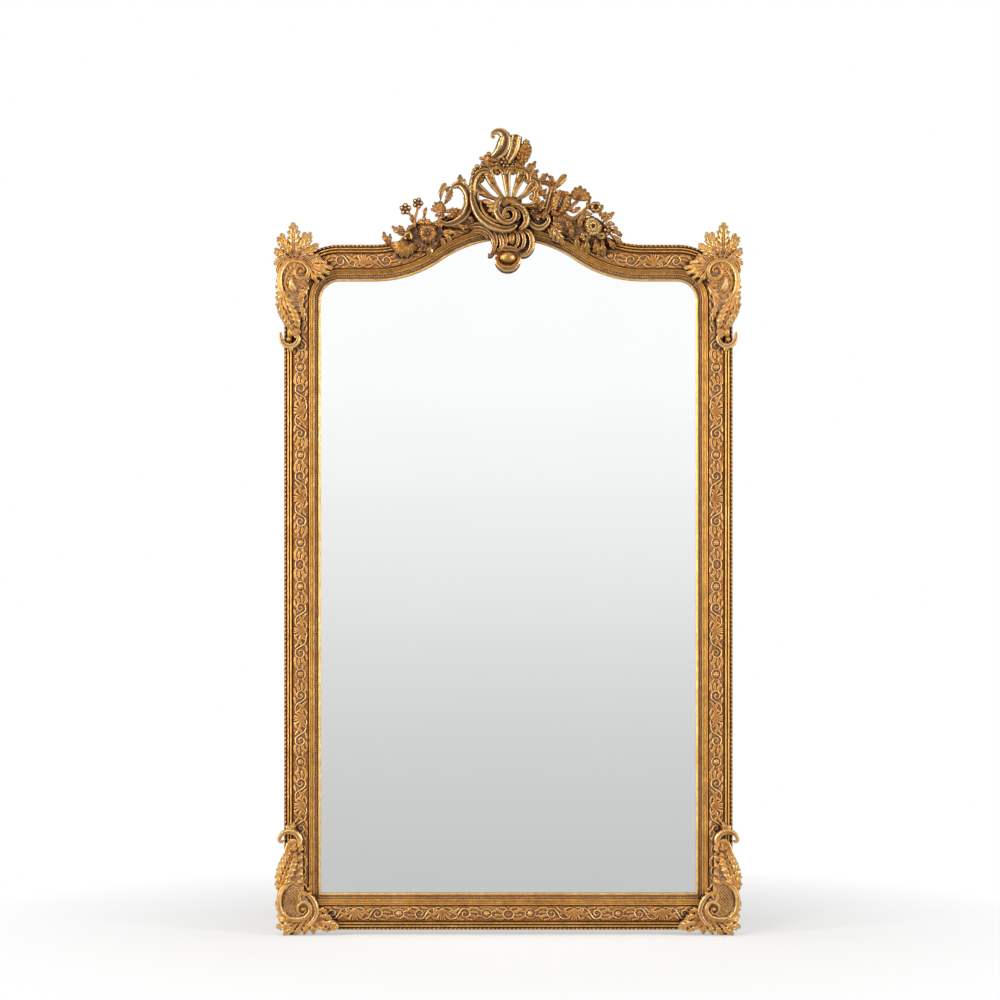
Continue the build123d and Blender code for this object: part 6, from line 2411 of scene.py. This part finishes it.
@dataclass
class Studio:
    """The stage: a pale floor, a white surround, soft lights and the camera.

    Args:
        reach: Half the side of the floor, in metres.
        distance: Distance from the camera to the frame.
        width: Width of the view at the frame.
        look_x: x of the middle of the view.
        look_z: z of the middle of the view.
    """

    reach: float = 9.0
    distance: float = 7.0
    width: float = 2.2333
    look_x: float = -0.0188
    look_z: float = 0.9715

    def build(self) -> None:
        """Builds the floor, the surround, the lights and the camera."""
        self._floor()
        self._surround()
        for name, place, aim, size, power, tint in (
            ("side_left", (-3.3, -2.3, 1.35), (0, 0, 0.95), (0.8, 2.4), 96.0, (1.0, 0.985, 0.96)),
            ("side_right", (3.3, -2.2, 1.35), (0, 0, 0.95), (0.8, 2.4), 76.0, (1.0, 0.985, 0.96)),
            ("key_high", (-1.9, -3.6, 3.9), (0, 0, 1.0), (0.9, 0.9), 48.0, (1.0, 0.985, 0.96)),
            ("top", (0.6, -1.4, 4.4), (0, 0, 1.0), (2.0, 1.0), 12.0, (1.0, 0.99, 0.97)),
        ):
            self._light(name, place, aim, size, power, tint)
        camera = bpy.data.cameras.new("camera")
        camera.sensor_width = 36.0
        camera.lens = 36.0 * self.distance / self.width
        camera.clip_end = 200.0
        holder = bpy.data.objects.new("camera", camera)
        holder.location = (self.look_x, -self.distance, self.look_z)
        holder.rotation_euler = (np.pi / 2, 0.0, 0.0)
        bpy.context.scene.collection.objects.link(holder)
        bpy.context.scene.camera = holder
        bpy.context.scene.view_settings.view_transform = "Standard"

    def _light(
        self, name: str, place: Sequence[float], aim: Sequence[float], size: tuple[float, float],
        power: float, tint: Sequence[float],
    ) -> None:
        """Adds a soft rectangular light that points at a place.

        Args:
            name: The light's name.
            place: Where it stands.
            aim: Where it points.
            size: Its width and height.
            power: Its power.
            tint: Its colour.
        """
        lamp = bpy.data.lights.new(name, "AREA")
        lamp.shape = "RECTANGLE"
        lamp.size, lamp.size_y = size
        lamp.energy = power
        lamp.color = tint
        holder = bpy.data.objects.new(name, lamp)
        holder.location = place
        way = np.array(aim, dtype=float) - np.array(place, dtype=float)
        way /= np.linalg.norm(way)
        holder.rotation_euler = (np.arccos(-way[2]), 0.0, np.arctan2(way[1], way[0]) - np.pi / 2)
        bpy.context.scene.collection.objects.link(holder)

    def _floor(self) -> None:
        """Lays the floor: pale where it is seen, and reflected as a paler grey the further off it lies."""
        side = np.linspace(-self.reach, self.reach, 3)
        x, y = np.meshgrid(side, side, indexing="ij")
        points = np.stack([x.ravel(), y.ravel(), np.zeros(9)], 1)
        corner = (np.arange(2)[:, None] * 3 + np.arange(2)).ravel()
        faces = np.stack([corner, corner + 3, corner + 4, corner + 1], 1)
        mesh = bpy.data.meshes.new("floor")
        mesh.from_pydata(points.tolist(), [], faces.tolist())
        desk = Desk(bpy.data.materials.new("pale_floor"))
        away = desk.add("ShaderNodeVectorMath", operation="LENGTH")
        desk.link(desk.place, away.inputs[0])
        far = desk.math("DIVIDE", away.outputs["Value"], self.reach, clamp=True)
        glossy = (
            (0.0, 0.575), (0.10, 0.581), (0.16, 0.588), (0.245, 0.609), (0.35, 0.621), (0.48, 0.645),
            (0.63, 0.661), (0.83, 0.689), (1.0, 0.706),
        )
        grey = desk.ramp(far, [(stop, (value, value, value)) for stop, value in glossy])
        matt = desk.add("ShaderNodeBsdfDiffuse")
        matt.inputs["Color"].default_value = (0.93, 0.93, 0.93, 1.0)
        card = desk.add("ShaderNodeEmission")
        desk.link(grey, card.inputs["Color"])
        path = desk.add("ShaderNodeLightPath")
        mix = desk.add("ShaderNodeMixShader")
        desk.link(path.outputs["Is Glossy Ray"], mix.inputs[0])
        desk.link(matt.outputs[0], mix.inputs[1])
        desk.link(card.outputs[0], mix.inputs[2])
        paper = desk.add("ShaderNodeEmission")
        spread = desk.math("DIVIDE", desk.math("SUBTRACT", away.outputs["Value"], 0.62), 0.75, clamp=True)
        fade = desk.add("ShaderNodeMixShader")
        paper_share = desk.sum(0.45, (spread, 0.55))
        desk.link(desk.math("MULTIPLY", path.outputs["Is Camera Ray"], paper_share), fade.inputs[0])
        desk.link(mix.outputs[0], fade.inputs[1])
        desk.link(paper.outputs[0], fade.inputs[2])
        paper.inputs["Color"].default_value = (1.0, 1.0, 1.0, 1.0)
        desk.link(fade.outputs[0], desk.add("ShaderNodeOutputMaterial").inputs["Surface"])
        mesh.materials.append(desk.owner)
        floor = bpy.data.objects.new("floor", mesh)
        bpy.context.scene.collection.objects.link(floor)

    def _surround(self) -> None:
        """Paints the surround: white to the eye, in reflections brightest in front and dim at the sides."""
        world = bpy.data.worlds.new("surround")
        bpy.context.scene.world = world
        desk = Desk(world)
        way = desk.add("ShaderNodeSeparateXYZ")
        desk.link(desk.place.node.outputs["Generated"], way.inputs[0])

        def ramp(axis: str, low: float, high: float, stops: Points) -> bpy.types.NodeSocket:
            """Returns a grey ramp over a direction's component, from low to high."""
            span = desk.add("ShaderNodeMapRange", clamp=True)
            span.inputs["From Min"].default_value, span.inputs["From Max"].default_value = low, high
            desk.link(way.outputs[axis], span.inputs["Value"])
            return desk.ramp(span.outputs["Result"], [(stop, (value, value, value)) for stop, value in stops])

        near = [
            (-0.125, 0.581), (-0.105, 0.609), (-0.086, 0.645), (-0.067, 0.689), (-0.048, 0.742),
            (-0.029, 0.812), (-0.0095, 0.870), (0.0, 0.894),
        ]
        near += [(0.0096, 0.933), (0.019, 0.946), (0.029, 0.973), (0.038, 1.0), (0.125, 1.03)]
        seen = ramp("Z", -0.125, 0.125, [((z + 0.125) / 0.25, value) for z, value in near])
        wide = ramp(
            "Z", -1.0, 1.0,
            [(0.0, 0.30), (0.40, 0.34), (0.48, 0.55), (0.56, 0.62), (0.70, 0.34), (0.85, 0.42), (1.0, 0.50)],
        )
        cone = ramp("Y", -0.985, -0.93, [(0.0, 1.0), (1.0, 0.0)])
        camera_ray = desk.add("ShaderNodeLightPath").outputs["Is Camera Ray"]
        light = desk.blend(camera_ray, desk.blend(cone, wide, seen), (1.0, 1.0, 1.0))
        shade = desk.add("ShaderNodeBackground")
        desk.link(light, shade.inputs["Color"])
        desk.link(shade.outputs[0], desk.add("ShaderNodeOutputWorld").inputs["Surface"])


def main() -> None:
    """Builds the mirror and its stage, and reports each piece."""
    logging.basicConfig(level=logging.INFO, format="%(message)s")
    mirror = FloorMirror(read_layout(), frame["nodes"])
    mirror.build()
    Studio().build()


if __name__ == "__main__":
    main()
